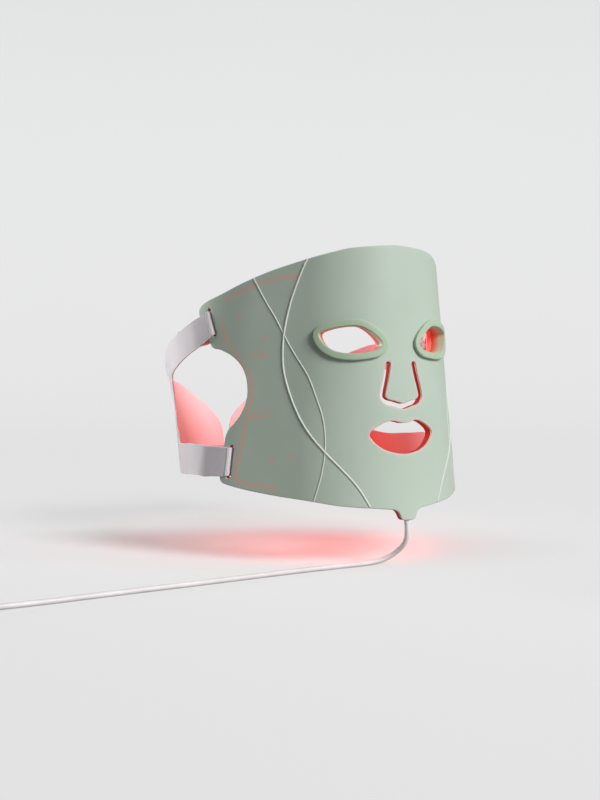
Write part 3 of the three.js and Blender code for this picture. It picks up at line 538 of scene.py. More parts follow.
def shift(ring, distance, least=0.6):
    """The ring moved outward, or inward by a negative distance. Least limits the sharp corners."""
    ring = ccw(ring)
    before = unit(ring - np.roll(ring, 1, axis=0))
    after = unit(np.roll(ring, -1, axis=0) - ring)
    way = unit(before + after)
    side = np.stack([way[:, 1], -way[:, 0]], axis=1)
    reach = distance / np.maximum(least, np.sum(way * before, axis=1))
    return ring + side * reach[:, None]


def within(points, ring):
    x, y = points[:, 0], points[:, 1]
    found = np.zeros(len(points), bool)
    for (ax, ay), (bx, by) in zip(ring, np.roll(ring, -1, axis=0)):
        if ay == by:
            continue
        hit = (ay > y) != (by > y)
        found ^= hit & (x < ax + (y - ay) / (by - ay) * (bx - ax))
    return found


def between(points, rings):
    """Which points lie inside the first ring and outside all others."""
    keep = within(points, rings[0])
    for ring in rings[1:]:
        keep &= ~within(points, ring)
    return keep


def near(points, line, reach):
    """1 on the line, falling to 0 at the reach."""
    best = np.full(len(points), np.inf)
    for a, b in zip(line[:-1], line[1:]):
        d = b - a
        t = np.clip(((points - a) @ d) / (d @ d), 0, 1)
        best = np.minimum(best, norm(points - (a + t[:, None] * d), axis=1))
    return np.clip(1 - best / reach, 0, 1)


def stroke(line, half_width, caps=5):
    """The outline of a line drawn with a round pen."""
    way = unit(np.gradient(line, axis=0))
    side = np.stack([-way[:, 1], way[:, 0]], axis=1)
    ring = [line + side * half_width]
    for at, sign in ((-1, 1), (0, -1)):
        for k in range(1, caps):
            turn = pi * k / caps
            spoke = side[at] * cos(turn) + way[at] * sin(turn)
            ring.append([line[at] + half_width * sign * spoke])
        if at == -1:
            ring.append((line - side * half_width)[::-1])
    return np.concatenate(ring)


def block(long, wide, turn, x, y, step=1.3, corner=1.0):
    """A turned rectangle with round corners."""
    c, s = cos(turn), sin(turn)
    a, b = long / 2, wide / 2
    line = []
    for (cx, cy), start in (((a, b), 0), ((-a, b), 90), ((-a, -b), 180), ((a, -b), 270)):
        mx = copysign(abs(cx) - corner, cx)
        my = copysign(abs(cy) - corner, cy)
        for k in range(4):
            t = radians(start + 30 * k)
            line.append((mx + corner * cos(t), my + corner * sin(t)))
    line.append(line[0])
    ring = resample(np.array(line), step, True)
    return ring @ np.array([[c, s], [-s, c]]) + [x, y]


# Sheets
def grid(rings, cell, clear=0.6):
    """Staggered points inside a sheet, no nearer to its edges than a share of the cell."""
    low, high = rings[0].min(axis=0), rings[0].max(axis=0)
    xs = np.arange(floor(low[0] / cell) * cell, high[0], cell)
    ys = np.arange(floor(low[1] / cell) * cell, high[1], cell)
    both = np.array([(x + (0.5 * cell if k % 2 else 0), y) for k, y in enumerate(ys) for x in xs])
    both = both[between(both, rings)]
    edges = np.concatenate(rings)
    gaps = np.array([norm(edges - point, axis=1).min() for point in both])
    return both[gaps >= cell * clear]


def band_faces(first, count, flipped):
    """Quads between a closed row of points, from index first on, and the next row."""
    faces = []
    for i in range(count):
        j = (i + 1) % count
        quad = (first + j, first + i, first + count + i, first + count + j)
        faces.append(quad[::-1] if flipped else quad)
    return faces


def tube_faces(rings, count, flipped):
    """Quads round a closed tube of rings, and its two ends."""
    last = (rings - 1) * count
    faces = [quad for first in range(0, last, count) for quad in band_faces(first, count, flipped)]
    start = tuple(range(count))
    end = tuple(range(last, last + count))
    return faces + ([start[::-1], end] if flipped else [start, end[::-1]])


def plate(outline, holes, low, high, edge, cell, turns=3):
    """A sheet from low to high with rounded edges and holes, as flat points and faces."""
    rings = [ccw(ring) for ring in (outline, *holes)]
    angles = [pi / 2 * k / turns for k in range(turns + 1)]
    profile = [(edge * (1 - sin(a)), edge * (1 - cos(a))) for a in angles]
    levels = [(inset, high - drop) for inset, drop in profile]
    levels += [(inset, low + drop) for inset, drop in reversed(profile)]
    points, faces, edges = [], [], []
    tops, lows = [], []
    total = 0
    for index, ring in enumerate(rings):
        count = len(ring)
        sign = 1 if index else -1
        for inset, level in levels:
            points.append(at_height(shift(ring, sign * inset), level))
        for k in range(len(levels) - 1):
            faces += band_faces(total + k * count, count, index > 0)
        edges += [(len(tops) + i, len(tops) + (i + 1) % count) for i in range(count)]
        tops += range(total, total + count)
        total += len(levels) * count
        lows += range(total - count, total)

    # The flat faces are a triangle net between the rounded edges
    borders = [ring[:, :2] for ring in points[::len(levels)]]
    flat = np.concatenate([*borders, grid(rings, cell)])
    every_triangle, merge_below = 0, 1e-7
    made = geometry.delaunay_2d_cdt([Vector(p) for p in flat], edges, [], every_triangle, merge_below)
    verts = np.array([tuple(p) for p in made[0]])
    triangles = np.array(made[2])
    top_of, low_of, loose = {}, {}, []
    for index, origins in enumerate(made[3]):
        if origins and origins[0] < len(tops):
            top_of[index] = tops[origins[0]]
            low_of[index] = lows[origins[0]]
        else:
            top_of[index] = total + len(loose)
            loose.append(index)
    for k, index in enumerate(loose):
        low_of[index] = total + len(loose) + k
    points += [at_height(verts[loose], level) for level in (high, low)]
    for a, b, c in triangles[between(verts[triangles].mean(axis=1), borders)]:
        if np.cross(verts[b] - verts[a], verts[c] - verts[a]) < 0:
            b, c = c, b
        faces.append((top_of[a], top_of[b], top_of[c]))
        faces.append((low_of[a], low_of[c], low_of[b]))
    return np.concatenate(points), faces


def build(name, points, faces, mapping, material, attributes=None):
    """An object from flat points that mapping bends into place."""
    kept = np.unique(np.concatenate([np.array(face) for face in faces]))
    place = np.zeros(len(points), int)
    place[kept] = np.arange(len(kept))
    world = mapping(points[kept]) * MM
    data = bpy.data.meshes.new(name)
    data.from_pydata([tuple(p) for p in world], [], [[int(place[i]) for i in face] for face in faces])
    data.polygons.foreach_set("use_smooth", [True] * len(data.polygons))
    for key, value in {"flat": points * MM, **(attributes or {})}.items():
        value = np.asarray(value)[kept]
        kind = "FLOAT_VECTOR" if value.ndim == 2 else "FLOAT"
        layer = data.attributes.new(key, kind, "POINT")
        layer.data.foreach_set("vector" if value.ndim == 2 else "value", value.astype(np.float32).ravel())
    data.materials.append(LOOKS[material].mat)
    data.update()
    piece = add_object(name, data)
    shade = piece.modifiers.new("shade", "WEIGHTED_NORMAL")
    shade.weight = 80
    return piece


def in_place(points):
    return points


def pair(piece):
    """The wearer's left piece and its mirrored right one."""
    twin = piece.copy()
    twin.data = piece.data.copy()
    twin.name = twin.data.name = piece.name.replace("left", "right")
    for vert in twin.data.vertices:
        vert.co.x = -vert.co.x
    twin.data.flip_normals()
    scene.collection.objects.link(twin)
    return {"left": piece, "right": twin}


# The mask's wall: points are along its arc from the nose line, up, and out of the wall
FRONT_RADIUS = 86.0
FRONT_TURN = radians(52)
TEMPLE_START = 125.0
TEMPLE_RADIUS = 150.0
CONE_HEIGHT = 800.0
MASK_PITCH = radians(5)
HEAD_DEPTH = 150


def leaned_back(x, y, z, angle):
    c, q = cos(angle), sin(angle)
    return np.stack([x, y * c + z * q - HEAD_DEPTH, z * c - y * q], axis=1)


def mask_map(points):
    s, v, n = points[:, 0], points[:, 1], points[:, 2]
    a = np.abs(s)
    end = FRONT_RADIUS * FRONT_TURN
    arc = np.minimum(a, end) / FRONT_RADIUS
    run = np.clip(a, end, TEMPLE_START) - end
    curl = np.maximum(a - TEMPLE_START, 0) / TEMPLE_RADIUS
    x = FRONT_RADIUS * np.sin(arc) + run * cos(FRONT_TURN)
    x += TEMPLE_RADIUS * (np.sin(FRONT_TURN + curl) - sin(FRONT_TURN))
    y = FRONT_RADIUS * (1 - np.cos(arc)) + run * sin(FRONT_TURN)
    y += TEMPLE_RADIUS * (cos(FRONT_TURN) - np.cos(FRONT_TURN + curl))
    turn = arc + curl
    grow = 1 - v / CONE_HEIGHT
    x = np.sign(s) * (x * grow + n * np.sin(turn))
    y = y * grow - n * np.cos(turn)
    return leaned_back(x, y, v, MASK_PITCH)


def add_sheet(name, material, outline, holes, levels, edge, cell, mapping=mask_map, turns=3):
    return build(name, *plate(outline, holes, *levels, edge, cell, turns), mapping, material)


# Outline of the mask, its openings and its ribs, on the flat wall
EDGE_STEP = 1.4
OPENING_STEP = 1.2
NOSE_SLIT = 4.2

top_edge = [
    (0, 101.4), (7, 101.1), (25.8, 100.1), (44.4, 99), (61.7, 96.3), (82.3, 93), (115.2, 86.5),
    (142.9, 78.7), (161.9, 72.6), (175, 69.2),
]
tip_edge = [
    (175, 69.2), (183, 66.2), (186.6, 62.5), (184.6, 57.6), (176, 46), (166.1, 34), (162.5, 30.3),
    (155.2, 28.7),
]
ear_edge = [
    (155.2, 28.7), (144.1, 23.7), (134.3, 16), (128.4, 7.2), (125.5, -3), (125.3, -11.5), (127.7, -20.6),
    (133.3, -29.6), (137.1, -33.6), (139.1, -38), (140, -47.1),
]
low_edge = [(140, -47.1), (140.3, -70.4), (139.9, -73.5), (137.5, -76.2)]
bottom_edge = [
    (137.5, -76.2), (122.8, -80.7), (108.1, -84.3), (91.7, -87.8), (77.3, -90.4), (66.9, -92.5),
    (49.5, -96.3), (28.8, -99.1), (14.5, -100.9),
]
chin_edge = [(14.5, -100.9), (9.6, -101.8), (7.4, -104.4), (5.6, -109.2), (4.6, -109.9), (0, -109.9)]
edge_parts = (top_edge, tip_edge, ear_edge, low_edge, bottom_edge, chin_edge)
half = np.concatenate([*[smooth(part, EDGE_STEP)[:-1] for part in edge_parts], chin_edge[-1:]])
outline = np.concatenate([half, flip(half)[1:-1]])
outline = relax(resample(np.concatenate([outline, outline[:1]]), EDGE_STEP, True), 2)

eye = smooth([
    (67.2, 34.8), (58.5, 37.8), (43.5, 39.5), (35, 38.7), (26, 33.9), (19.5, 28), (18, 24.6), (21.5, 20.8),
    (30.5, 19), (43.5, 18.7), (55.5, 21.4), (64, 27.7),
], OPENING_STEP, True)
mouth = smooth([
    (28.6, -43.3), (23.2, -38.2), (11.6, -33.7), (2.2, -35.5), (-2.2, -35.5), (-11.6, -33.7),
    (-23.2, -38.2), (-28.6, -43.3), (-23.2, -51.2), (-14.5, -56.5), (0, -59.2), (14.5, -56.5),
    (23.2, -51.2),
], OPENING_STEP, True)
nose_half = [(12.2, 9.6), (14.2, 0), (17, -10.5), (17.4, -15.5), (14.4, -18.9), (8.5, -20.6), (2.5, -22.3)]
nose_line = [*nose_half, (0, -22.8), *[(-x, y) for x, y in nose_half[::-1]]]
nose = stroke(smooth(nose_line, OPENING_STEP), NOSE_SLIT / 2)

# Slot of each strap loop: its middle and turn, and the loop's reach along the strap outside and inside
Slot = namedtuple("Slot", "across up turn reach land")
SLOTS = {
    "upper": Slot(across=168.0, up=50.8, turn=radians(-29), reach=20.0, land=12.1),
    "lower": Slot(across=133.2, up=-59.6, turn=0, reach=21.95, land=8.35),
}
slot_holes = [block(long=3.6, wide=25.6, turn=slot.turn, x=slot.across, y=slot.up)
              for slot in SLOTS.values()]
slot_holes += [flip(hole) for hole in slot_holes]
eye_hole = shift(eye, distance=1.9)
holes = [eye_hole, flip(eye_hole), mouth, nose, *slot_holes]

broad_rib = smooth([
    (81.3, 92.6), (86.2, 82.6), (93.3, 63.2), (96.9, 46.2), (98.2, 32), (96.7, 12.2), (91.3, -5.7),
    (80.7, -28.3), (72, -41.6), (61.7, -54.1), (49.4, -67.9), (42.1, -76.5), (36.2, -84.7), (29.2, -97.4),
], 2.0)
fine_rib = smooth([
    (129.7, 81.5), (116.9, 63.5), (105.3, 48), (97.5, 35.5), (87.2, 20), (75.3, 2.7), (67.7, -15.3),
    (62.7, -30.3), (60.7, -45.9), (60.9, -57.9), (62.6, -71.4), (64.9, -81.8), (67.4, -91.6),
], 2.0)

# Traces and spots of the circuits, where painted glow stands in for the light that shines through the outer
# skin
trace_lines = [smooth(line, 3.0) for line in (
    [(157, 67.5), (140, 72.5), (123.5, 77.1), (105, 80), (87, 81.1)],
    [(156, 48), (150.5, 38), (143.5, 29), (131.3, 15), (122.9, 3), (120.7, -8.7), (122, -20.2),
     (124.5, -43.1), (126.8, -58.4), (127.8, -70.7)],
    [(127.8, -70.7), (123.5, -75.2), (110, -78.6), (96.2, -81.6)],
    [(122.9, 21.5), (118, 21.8), (112.8, 21.6)],
    [(121.5, -25.5), (113, -25.3), (104.4, -24.9)],
)]
spots = [(114, 34), (85.7, -57.7), (140, 52), (100, -60)]
TRACE_SHARE = 0.55
SPOT_WIDE = 3.0
SPOT_SHARE = 0.6
LIT_FRONT = -0.8
LIT_FRONT_SHARE = 0.25


def skin_light(points):
    """How far each point of the outer skin lies on the circuits' traces and spots, and on the lit edge of
    nose or mouth, as shares of painted glow and painted light.
    """
    left = np.column_stack([np.abs(points[:, 0]), points[:, 1]])
    trace_glow = np.max([near(left, line, reach=2.4) for line in trace_lines], axis=0) * TRACE_SHARE
    for spot in spots:
        away = norm(left - spot, axis=1)
        trace_glow = np.maximum(trace_glow, np.clip(1 - away / SPOT_WIDE, 0, 1) * SPOT_SHARE)
    # The lit edges of mouth and nose are painted light: a pale warm colour and a red glow where the inner
    # lamps shine on them, weaker on the front face.
    rings = [np.concatenate([ring, ring[:1]]) for ring in (mouth, nose)]
    edge = np.max([near(points[:, :2], ring, reach=1.6) for ring in rings], axis=0)
    edge = np.where(points[:, 2] < LIT_FRONT, edge, edge * LIT_FRONT_SHARE)
    return {"trace_glow": trace_glow, "lit_edge": edge}


# Skins, and the walls that join them round every edge
INNER_INSET = 0.15
SHEET_CELL = 4.0
WALL_WIDE = 2.4

points, faces = plate(outline, holes, low=-2.0, high=0.0, edge=0.7, cell=2.6)
skin = build("mask_skin", points, faces, mask_map, "skin", skin_light(points))
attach(skin, "mask")
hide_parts("outer_skin")

inner_outline = shift(outline, -INNER_INSET)
inner = add_sheet("mask_inner", "inner", inner_outline, holes, levels=(-7.0, -4.2), edge=0.9, cell=SHEET_CELL)
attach(inner, "mask")
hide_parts("inner_skin")

walls = [(inner_outline, shift(inner_outline, -WALL_WIDE))]
walls += [(shift(hole, WALL_WIDE), hole) for hole in holes]
for index, (outer_ring, inner_ring) in enumerate(walls):
    wall = add_sheet("mask_wall_%d" % index, "inner", outer_ring, [inner_ring], levels=(-4.6, -2.3),
                     edge=0.3, cell=SHEET_CELL, turns=1)
    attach(wall, "mask")


# Eye rims with their sleeves, and the soft pads behind them
EYE_RINGS = (
    ("rim", "rim", 5.2, 0, (0.1, 3.0), 0.8, 2.0),
    ("sleeve", "rim", 1.6, 0, (-7.2, 1.8), 0.3, 2.0),
    ("pad", "pad", 7.0, 0.4, (-12.4, -7.3), 1.6, 2.2),
)

for side, opening in (("left", eye), ("right", flip(eye))):
    for label, slot, border, inset, levels, edge, cell in EYE_RINGS:
        hole = shift(opening, inset)
        piece = add_sheet("%s_%s" % (label, side), slot, shift(opening, border), [hole], levels, edge, cell)
        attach(piece, "mask")
        if label != "sleeve":
            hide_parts("eye_%s_%s" % (label, side))


# Raised ribs on the outer skin
RIB_LIFT = 0.05
RIB_SQUASH = 0.85
RIB_SIDES = 10
THINNEST = 0.02
DOME_PUSH = 0.6
DOME_SHARE = 0.75


def raised_rib(name, line, radius):
    """A flattened bar along a flat line, closed with small domes."""
    world = mask_map(line)
    way = unit(np.gradient(world, axis=0))
    out = mask_map(line + [0, 0, 1.0]) - world
    out = unit(out - way * np.sum(out * way, axis=1)[:, None])
    side = np.cross(way, out)
    stations = [(0, -1, 0.0), (0, -DOME_PUSH, DOME_SHARE)]
    stations += [(i, 0, 1.0) for i in range(len(world))]
    stations += [(-1, DOME_PUSH, DOME_SHARE), (-1, 1, 0.0)]
    rows = []
    for at, push, grow in stations:
        size = radius * max(grow, THINNEST)
        for k in range(RIB_SIDES):
            t = 2 * pi * k / RIB_SIDES
            ring = side[at] * cos(t) * size + out[at] * sin(t) * size * RIB_SQUASH
            rows.append(world[at] + way[at] * push * radius + ring)
    faces = tube_faces(len(stations), RIB_SIDES, True)
    return build(name, np.array(rows), faces, in_place, "rib")


for side, name in ((1, "left"), (-1, "right")):
    for label, line, radius in (("broad", broad_rib, 0.85), ("fine", fine_rib, 0.54)):
        flat = at_height(line * [side, 1], RIB_LIFT)
        rib = raised_rib("rib_%s_%s" % (label, name), flat, radius)
        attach(rib, "mask")


# Straps: their wall leans back and curves from the loops round the back of the head
STRAP_TILT = radians(12.5)
STRAP_WIDE = 24.0
LEAVE = radians(10)
INWARD = radians(24)
SIDE_RADIUS = 115.0
BACK_RADIUS = 83.0
LOOP_LIFT = 1.05
HINGE_LEAD = 4
FRONT_OVERLAP = 1.2
WEB = 1.2
REST = 0.15 + WEB / 2


def leaned(world):
    """Points of the mask in the frame that leans with the straps."""
    y, z = world[:, 1] + HEAD_DEPTH, world[:, 2]
    c, q = cos(STRAP_TILT), sin(STRAP_TILT)
    return np.stack([world[:, 0], y * c - z * q, y * q + z * c], axis=1)


def loop_corners(slot):
    """The upper and lower corner where a loop ends, on the mask's flat wall."""
    c, q = cos(slot.turn), sin(slot.turn)
    return np.array([(slot.across + c * slot.reach - q * side, slot.up + q * slot.reach + c * side)
                     for side in (STRAP_WIDE / 2, -STRAP_WIDE / 2)])


mask_ends = {name: loop_corners(slot) for name, slot in SLOTS.items()}
ends = {name: leaned(mask_map(at_height(flat, LOOP_LIFT))) for name, flat in mask_ends.items()}
hinge_out = ends["upper"][:, 0].mean()
hinge_back = ends["upper"][:, 1].min() - HINGE_LEAD
run_start = SIDE_RADIUS * (LEAVE + INWARD)
run_out = hinge_out - SIDE_RADIUS * (cos(LEAVE) - cos(INWARD))
run_long = (run_out - BACK_RADIUS * cos(INWARD)) / sin(INWARD)
half_long = run_start + run_long + BACK_RADIUS * (pi / 2 - INWARD)


def wall_map(points):
    """Bends points along, across and off a strap half into place, mirrored past the middle of the back."""
    u, w, n = points[:, 0], points[:, 1], points[:, 2]
    over = u > half_long
    u = np.where(over, 2 * half_long - u, u)
    first = np.clip(u, 0, run_start)
    later = np.maximum(u - run_start - run_long, 0)
    head = pi / 2 - LEAVE + first / SIDE_RADIUS
    x = hinge_out + SIDE_RADIUS * (np.sin(head) - cos(LEAVE)) + np.minimum(u, 0) * sin(LEAVE)
    y = hinge_back + SIDE_RADIUS * (sin(LEAVE) - np.cos(head)) + np.minimum(u, 0) * cos(LEAVE)
    flat = np.clip(u - run_start, 0, run_long)
    x -= flat * sin(INWARD)
    y += flat * cos(INWARD)
    turn = pi / 2 + INWARD + later / BACK_RADIUS
    x += BACK_RADIUS * (np.sin(turn) - cos(INWARD))
    y += BACK_RADIUS * (-sin(INWARD) - np.cos(turn))
    head = head + later / BACK_RADIUS
    x += n * np.sin(head)
    y -= n * np.cos(head)
    return leaned_back(np.where(over, -x, x), y, w, STRAP_TILT)


fronts = {name: np.column_stack([(end[:, 1] - hinge_back) / cos(LEAVE) + FRONT_OVERLAP, end[:, 2]])
          for name, end in ends.items()}

# Where the straps leave the mask's wall, and where they bow out above the ear
FADE = 36.0
ARM_SPLIT = 10
BOW = 4.6
BOW_MIDDLE = 122
BOW_HALF = 66
BOW_FROM = 22
BOW_RISE = 36


def ease(share):
    return share * share * (3 - 2 * share)


def strap_map(points):
    """The straps' wall, led on to the mask's wall at the front of each arm, bowed out above the ear."""
    bow = np.cos(np.clip((points[:, 0] - BOW_MIDDLE) / BOW_HALF, -1, 1) * pi / 2) ** 2
    rise = np.clip((points[:, 1] - BOW_FROM) / BOW_RISE, 0, 1)
    found = wall_map(points + np.outer(BOW * bow * ease(rise), [0, 0, 1]))
    upper = points[:, 1] > ARM_SPLIT
    for name, own in (("upper", upper), ("lower", ~upper)):
        a, b = fronts[name]
        c, d = mask_ends[name]
        span = complex(*(a - b))
        turn = complex(*(c - d)) / span
        turn /= abs(turn)
        way = -1j * span / abs(span)
        place = (points[own, 0] - b[0]) + 1j * (points[own, 1] - b[1])
        behind = (place * way.conjugate()).real
        past = np.maximum(behind, 0)
        across = place - way * past
        flat = across * turn + complex(*d)
        start = across + complex(*b)
        off = points[own, 2]
        on_mask = mask_map(np.column_stack([flat.real, flat.imag, off + REST]))
        begun = wall_map(np.column_stack([start.real, start.imag, off]))
        fade = ease(np.clip(1 - past / FADE, 0, 1))
        moved = found[own] + (on_mask - begun) * fade[:, None]
        found[own] = np.where((behind < 0)[:, None], on_mask, moved)
    return found


# Outline of a strap half, as shares of its length and of the strap's width
top_shares = [
    (0.012, 2.955), (0.045, 2.93), (0.085, 2.86), (0.129, 2.75), (0.17, 2.68), (0.215, 2.67), (0.27, 2.7),
    (0.34, 2.745), (0.4, 2.7), (0.509, 2.56), (0.651, 2.13), (0.788, 1.96), (0.857, 1.67), (0.902, 1.42),
    (0.942, 1.08), (0.971, 0.71), (0.984, 0.33), (0.987, -0.08),
]
low_shares = [
    (0.987, -1.5), (0.833, -1.5), (0.63, -1.6), (0.51, -1.75), (0.3, -1.96), (0.218, -2.04), (0.061, -2.26),
    (0.002, -2.43),
]
ear_shares = [
    (0.012, -1.375), (0.033, -1.3), (0.085, -1.19), (0.14, -1.08), (0.2, -1.0), (0.247, -0.93),
    (0.291, -0.87), (0.336, -0.74), (0.375, -0.57), (0.428, -0.25), (0.46, 0.33), (0.444, 1), (0.4, 1.45),
    (0.352, 1.62), (0.279, 1.63), (0.186, 1.63), (0.137, 1.69), (0.093, 1.77), (0.053, 1.85), (0.016, 1.9),
]
BAND_STEP = 2.5
EDGE_IN = 0.8
SLOT_CLEAR = 3.4
BACK_GAP = 3.2


def scaled(shares):
    return [(a * half_long, b * STRAP_WIDE) for a, b in shares]


def front_line(name):
    """The two front corners of an arm, drawn in a little and short of the slot."""
    a, b = fronts[name]
    way = (a - b) / norm(a - b)
    forward = np.array([-way[1], way[0]]) * (SLOTS[name].reach - SLOT_CLEAR)
    return a - way * EDGE_IN + forward, b + way * EDGE_IN + forward


def band_outline():
    upper, lower = front_line("upper"), front_line("lower")
    lines = [smooth([upper[0], *scaled(top_shares)], BAND_STEP),
             smooth([*scaled(low_shares), lower[1]], BAND_STEP),
             smooth([lower[0], *scaled(ear_shares), upper[1]], BAND_STEP)]
    parts = []
    for line, after in zip(lines, [*lines[1:], lines[0]]):
        parts += [line, resample(np.array([line[-1], after[0]]), BAND_STEP)[1:-1]]
    ring = np.concatenate(parts)
    ring[:, 0] = np.minimum(ring[:, 0], half_long - BACK_GAP)
    return ccw(ring)


# Loops of webbing folded through the slots
FOLD_HALF = 10.9
LIP_SHARES = [(1, 0.5), (0.97, 0.9), (0.9, 1), (0, 1), (-0.9, 1), (-0.97, 0.9), (-1, 0.5)]


def loop_path(slot):
    """Along the strap and off the wall: from outside, round the tab's edge, and back on the inside."""
    return smooth([(SLOT_CLEAR - 0.1, REST), (1.8, REST - 0.15), (0.4, -0.7), (0, -3.5), (0.3, -6.4),
                   (1.8, -7.8), (5, -8.0), (slot.land - 1, -8.0), (slot.land + 2.5, -6.4),
                   (slot.reach - 3, -2.0), (slot.reach - 0.6, -0.6)], 0.7)


def ribbon(name, path, slot):
    """Webbing that follows a path through a slot, with rounded edges."""
    way = unit(np.gradient(path, axis=0))
    side = np.column_stack([-way[:, 1], way[:, 0]])
    lips = LIP_SHARES + [(a, -b) for a, b in reversed(LIP_SHARES)]
    c, q = cos(slot.turn), sin(slot.turn)
    rows, flats = [], []
    for p, s, run in zip(path, side, run_of(path)):
        for a, b in lips:
            along, off = p + s * b * WEB / 2
            across = a * FOLD_HALF
            rows.append((slot.across + c * along - q * across, slot.up + q * along + c * across, off))
            flats.append((run, across, -b))
    piece = build(name, np.array(rows), tube_faces(len(path), len(lips), False), mask_map, "strap")
    layer = piece.data.attributes["flat"]
    layer.data.foreach_set("vector", (np.array(flats) * MM).astype(np.float32).ravel())
    return piece


for name, slot in SLOTS.items():
    path = loop_path(slot)
    length = float(run_of(path)[-1])
    loop = ribbon(name + "_fold_left", path, slot)
    for side, piece in pair(loop).items():
        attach(piece, "mask")
        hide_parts("%s_loop_%s" % (name, side))


# Strap bands, with the hook tails of their arms and the closure at the back
HOOK_CELL = 3.0
HOOK_STEP = 2.0
HOOK_CORNER = 3.0
TAIL_LONG = 28
TAIL_WIDE = 18.6
TAIL_TURNS = {"upper": radians(5), "lower": radians(9)}
CLOSURE_LONG = 46
CLOSURE_WIDE = 24
CLOSURE_UP = -21.4
BAND_EDGE = 0.35


def swing(piece):
    """Bakes the piece's transform into its mesh."""
    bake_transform(piece)


def hook_tail(name):
    a, b = fronts[name]
    turn = TAIL_TURNS[name]
    along = max(a[0], b[0]) + FRONT_OVERLAP + TAIL_LONG / 2
    up = (a[1] + b[1]) / 2 + TAIL_LONG / 2 * tan(turn)
    shape = block(TAIL_LONG, TAIL_WIDE, turn, along, up, HOOK_STEP, HOOK_CORNER)
    return add_sheet(name + "_hook_left", "hook", shape, [], levels=(-2.0, -0.7), edge=0.4, cell=HOOK_CELL,
                     mapping=strap_map)


band = band_outline()
bands = pair(add_sheet("band_left", "strap", band, [], (-WEB / 2, WEB / 2), BAND_EDGE, SHEET_CELL, strap_map))
tails = {name: pair(hook_tail(name)) for name in SLOTS}

shape = block(CLOSURE_LONG, CLOSURE_WIDE, 0, half_long, CLOSURE_UP, HOOK_STEP, HOOK_CORNER)
closure = add_sheet("closure_pad", "hook", shape, [], levels=(-2.1, -0.75), edge=0.45, cell=HOOK_CELL,
                    mapping=wall_map)
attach(closure, "left_strap")
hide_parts("back_closure")

for side, piece in bands.items():
    extra = [tails[name][side] for name in SLOTS]
    for each in (piece, *extra):
        swing(each)
    for name, tail in zip(SLOTS, extra):
        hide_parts("%s_tail_%s" % (name, side))
    if side == "left":
        extra.append(closure)
    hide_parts("strap_" + side)


# Tie round the near side of the coil
TIE_WALL = 1.0
TIE_HALF = 4.5
TIE_EDGE = 0.35
TIE_UP = -139.4


def coil_tie():
    ring = block(long=19.8, wide=10.6, turn=0, x=0, y=0, step=0.8, corner=4.4)
    level = TIE_HALF - TIE_EDGE
    levels = [(-TIE_HALF, TIE_EDGE), (-level, 0.0), (level, 0.0), (TIE_HALF, TIE_EDGE)]
    count = len(ring)
    last = (len(levels) - 1) * count
    inner_first = len(levels) * count
    rows, faces = [], []
    for base, sign in ((ccw(ring), -1), (shift(ring, -TIE_WALL), 1)):
        for along, inset in levels:
            at = shift(base, sign * inset) if inset else base
            rows.append(np.column_stack([np.full(count, COIL_X + along), at[:, 0] + COIL_Y + COIL_RADIUS,
                                         at[:, 1] + TIE_UP]))
    for first in range(0, last, count):
        faces += band_faces(first, count, True) + band_faces(inner_first + first, count, False)
    for i in range(count):
        j = (i + 1) % count
        faces.append((j, i, inner_first + i, inner_first + j))
        faces.append((last + i, last + j, inner_first + last + j, inner_first + last + i))
    return build("coil_tie", np.concatenate(rows), faces, in_place, "hook")


tie = coil_tie()
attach(tie, "mask")
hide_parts("cord_tie")


# Hard pieces that keep their own shape get softened edges
hard_pieces = ["controller_top", "controller_bottom", "power_button", "mode_button", "cord_relief",
               "charge_socket", "status_light", "chin_gland"]
hard_pieces += ["%s_%d" % (kind, k) for kind in ("foot", "case_screw") for k in range(1, 5)]
for name in hard_pieces:
    edge = bpy.data.objects[name].modifiers.new("edge", "BEVEL")
    edge.width = 0.3 * MM
    edge.segments = 3
    edge.limit_method = "ANGLE"
    edge.angle_limit = radians(35)


# Floor and backdrop: one sweep of paper, in metres from the object
forward = -level_back
side_way = Vector((forward.y, -forward.x, 0))


def sweep_shape(front=-3.0, flat=1.2, radius=1.2, top=4.0, half_wide=4.0, steps=24):
    profile = [(front, 0.0)]
    for k in range(steps + 1):
        t = pi / 2 * k / steps
        profile.append((flat + radius * sin(t), radius * (1 - cos(t))))
    profile.append((flat + radius, top))
    points = [tuple(forward * away + side_way * across + UP * (TABLE * MM + up))
              for away, up in profile for across in (-half_wide, half_wide)]
    faces = [(k, k + 1, k + 3, k + 2) for k in range(0, len(points) - 2, 2)]
    return points, faces


def paper_material():
    """Paper that shows the object's shadow and glow close by, and an even tone farther away."""
    made = Nodes("studio_paper", (231, 231, 231), 0.95, Specular_IOR_Level=0.1)
    made.colour(made.mottle(made.noise(3.0), (230, 230, 230), (232, 232, 232)))
    place = made.object_place()
    squares = []
    for way, reach, centre in ((side_way, 0.3, -0.05), (forward, 0.115, -0.045)):
        along = made.add("VectorMath", operation="DOT_PRODUCT")
        made.feed(place, along, 0)
        along.inputs[1].default_value = way / reach
        off = made.math("SUBTRACT", (along, "Value"), centre / reach)
        squares.append(made.math("MULTIPLY", off, off))
    apart = made.math("SQRT", made.math("ADD", *squares))
    plain = made.add("Emission")
    tone = made.ramp((made.split(place), "Z"), [(0.0, (234, 234, 234)), (0.5, (236, 237, 237))])
    made.feed(tone, plain, "Color")
    dim = made.add("BsdfDiffuse")
    fill(dim, Color=linear((168, 168, 168)))
    fade = made.ramp(apart, [(0.45, (120, 120, 120)), (1.0, (222, 222, 222))])
    seen = blend_shaders(made, fade, (made.shader, "BSDF"), (plain, "Emission"))
    camera_ray = (made.add("LightPath"), "Is Camera Ray")
    made.feed(blend_shaders(made, camera_ray, (dim, "BSDF"), seen), made.out, "Surface")
    return made


def blend_shaders(made, share, a, b):
    node = made.add("MixShader")
    for socket, source in enumerate((share, a, b)):
        made.feed(source, node, socket)
    return node, "Shader"


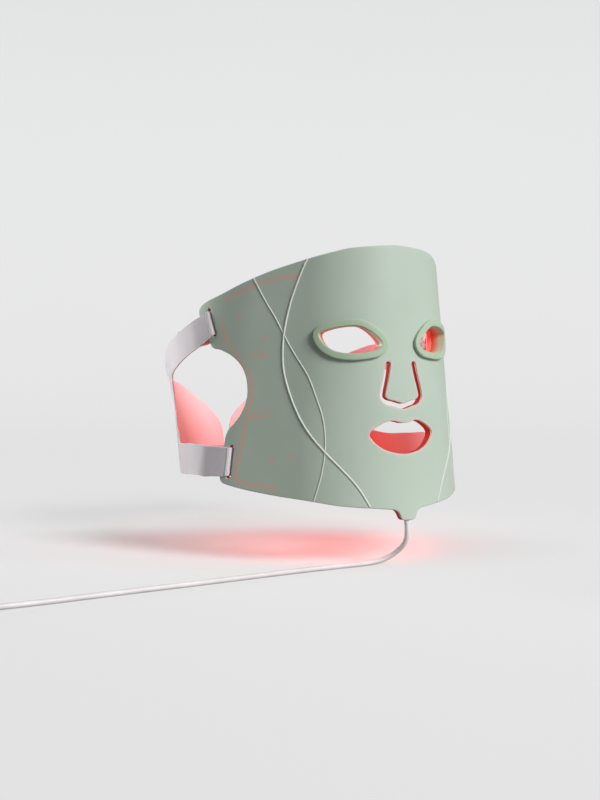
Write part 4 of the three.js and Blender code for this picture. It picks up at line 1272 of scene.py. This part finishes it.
data = bpy.data.meshes.new("studio_sweep")
points, faces = sweep_shape()
data.from_pydata(points, [], faces)
data.polygons.foreach_set("use_smooth", [True] * len(faces))
data.materials.append(paper_material().mat)
sweep = add_object("studio_sweep", data)


# Light of the room: brighter from one side and from above
def add_world():
    world = bpy.data.worlds.new("studio_world")
    world.use_nodes = True
    tree = world.node_tree
    ground = tree.nodes["Background"]
    fill(ground, Color=linear((250, 250, 252)))
    coords = tree.nodes.new("ShaderNodeTexCoord")
    dot = tree.nodes.new("ShaderNodeVectorMath")
    dot.operation = "DOT_PRODUCT"
    dot.inputs[1].default_value = (0.9, -0.1, 0.42)
    remap = tree.nodes.new("ShaderNodeMapRange")
    fill(remap, From_Min=-0.5, From_Max=1.0, To_Min=0.03, To_Max=0.58)
    tree.links.new(coords.outputs["Generated"], dot.inputs[0])
    tree.links.new(dot.outputs["Value"], remap.inputs["Value"])
    tree.links.new(remap.outputs["Result"], ground.inputs["Strength"])
    scene.world = world


def panel(name, place, aim, size, power, colour=(1, 1, 1)):
    data = bpy.data.lights.new(name, "AREA")
    data.shape = "RECTANGLE"
    data.size, data.size_y = size
    data.energy = power
    data.color = colour
    lamp = add_object(name, data)
    lamp.location = place
    lamp.rotation_euler = (Vector(aim) - Vector(place)).to_track_quat("-Z", "Y").to_euler()
    return lamp


def sun(name, azimuth, height, strength, spread):
    """A distant light. Azimuth is degrees to the right of the camera, seen from the object."""
    a, h = radians(azimuth), radians(height)
    way = (-forward * cos(a) + side_way * sin(a)) * cos(h) + UP * sin(h)
    data = bpy.data.lights.new(name, "SUN")
    data.energy = strength
    data.angle = radians(spread)
    lamp = add_object(name, data)
    lamp.rotation_euler = way.to_track_quat("Z", "Y").to_euler()


add_world()
sun("key_light", azimuth=51, height=32, strength=2.85, spread=24)
rim_from = forward * 0.46 - side_way * 0.99 + UP * 0.24
rim_light = panel("rim_light", rim_from, aim=(-0.1, 0, 0.08), size=(0.3, 0.4), power=0.78)
rim_light.data.spread = radians(36)

# Red light that the lamps throw back and down from the inner wall
LAMP_DEPTH = -15
LAMP_AIM = -60
for index, across in enumerate((-150, -100, -52, 0, 52, 100, 150)):
    for row, up in enumerate((-45, 30)):
        flat = np.array([[across, up, LAMP_DEPTH], [across, up, LAMP_AIM]], float)
        here, there = [Vector(place) * MM for place in mask_map(flat)]
        panel("lamp_glow_%d_%d" % (index, row), here, there, size=(0.035, 0.055), power=0.017,
              colour=(1.0, 0.06, 0.045))
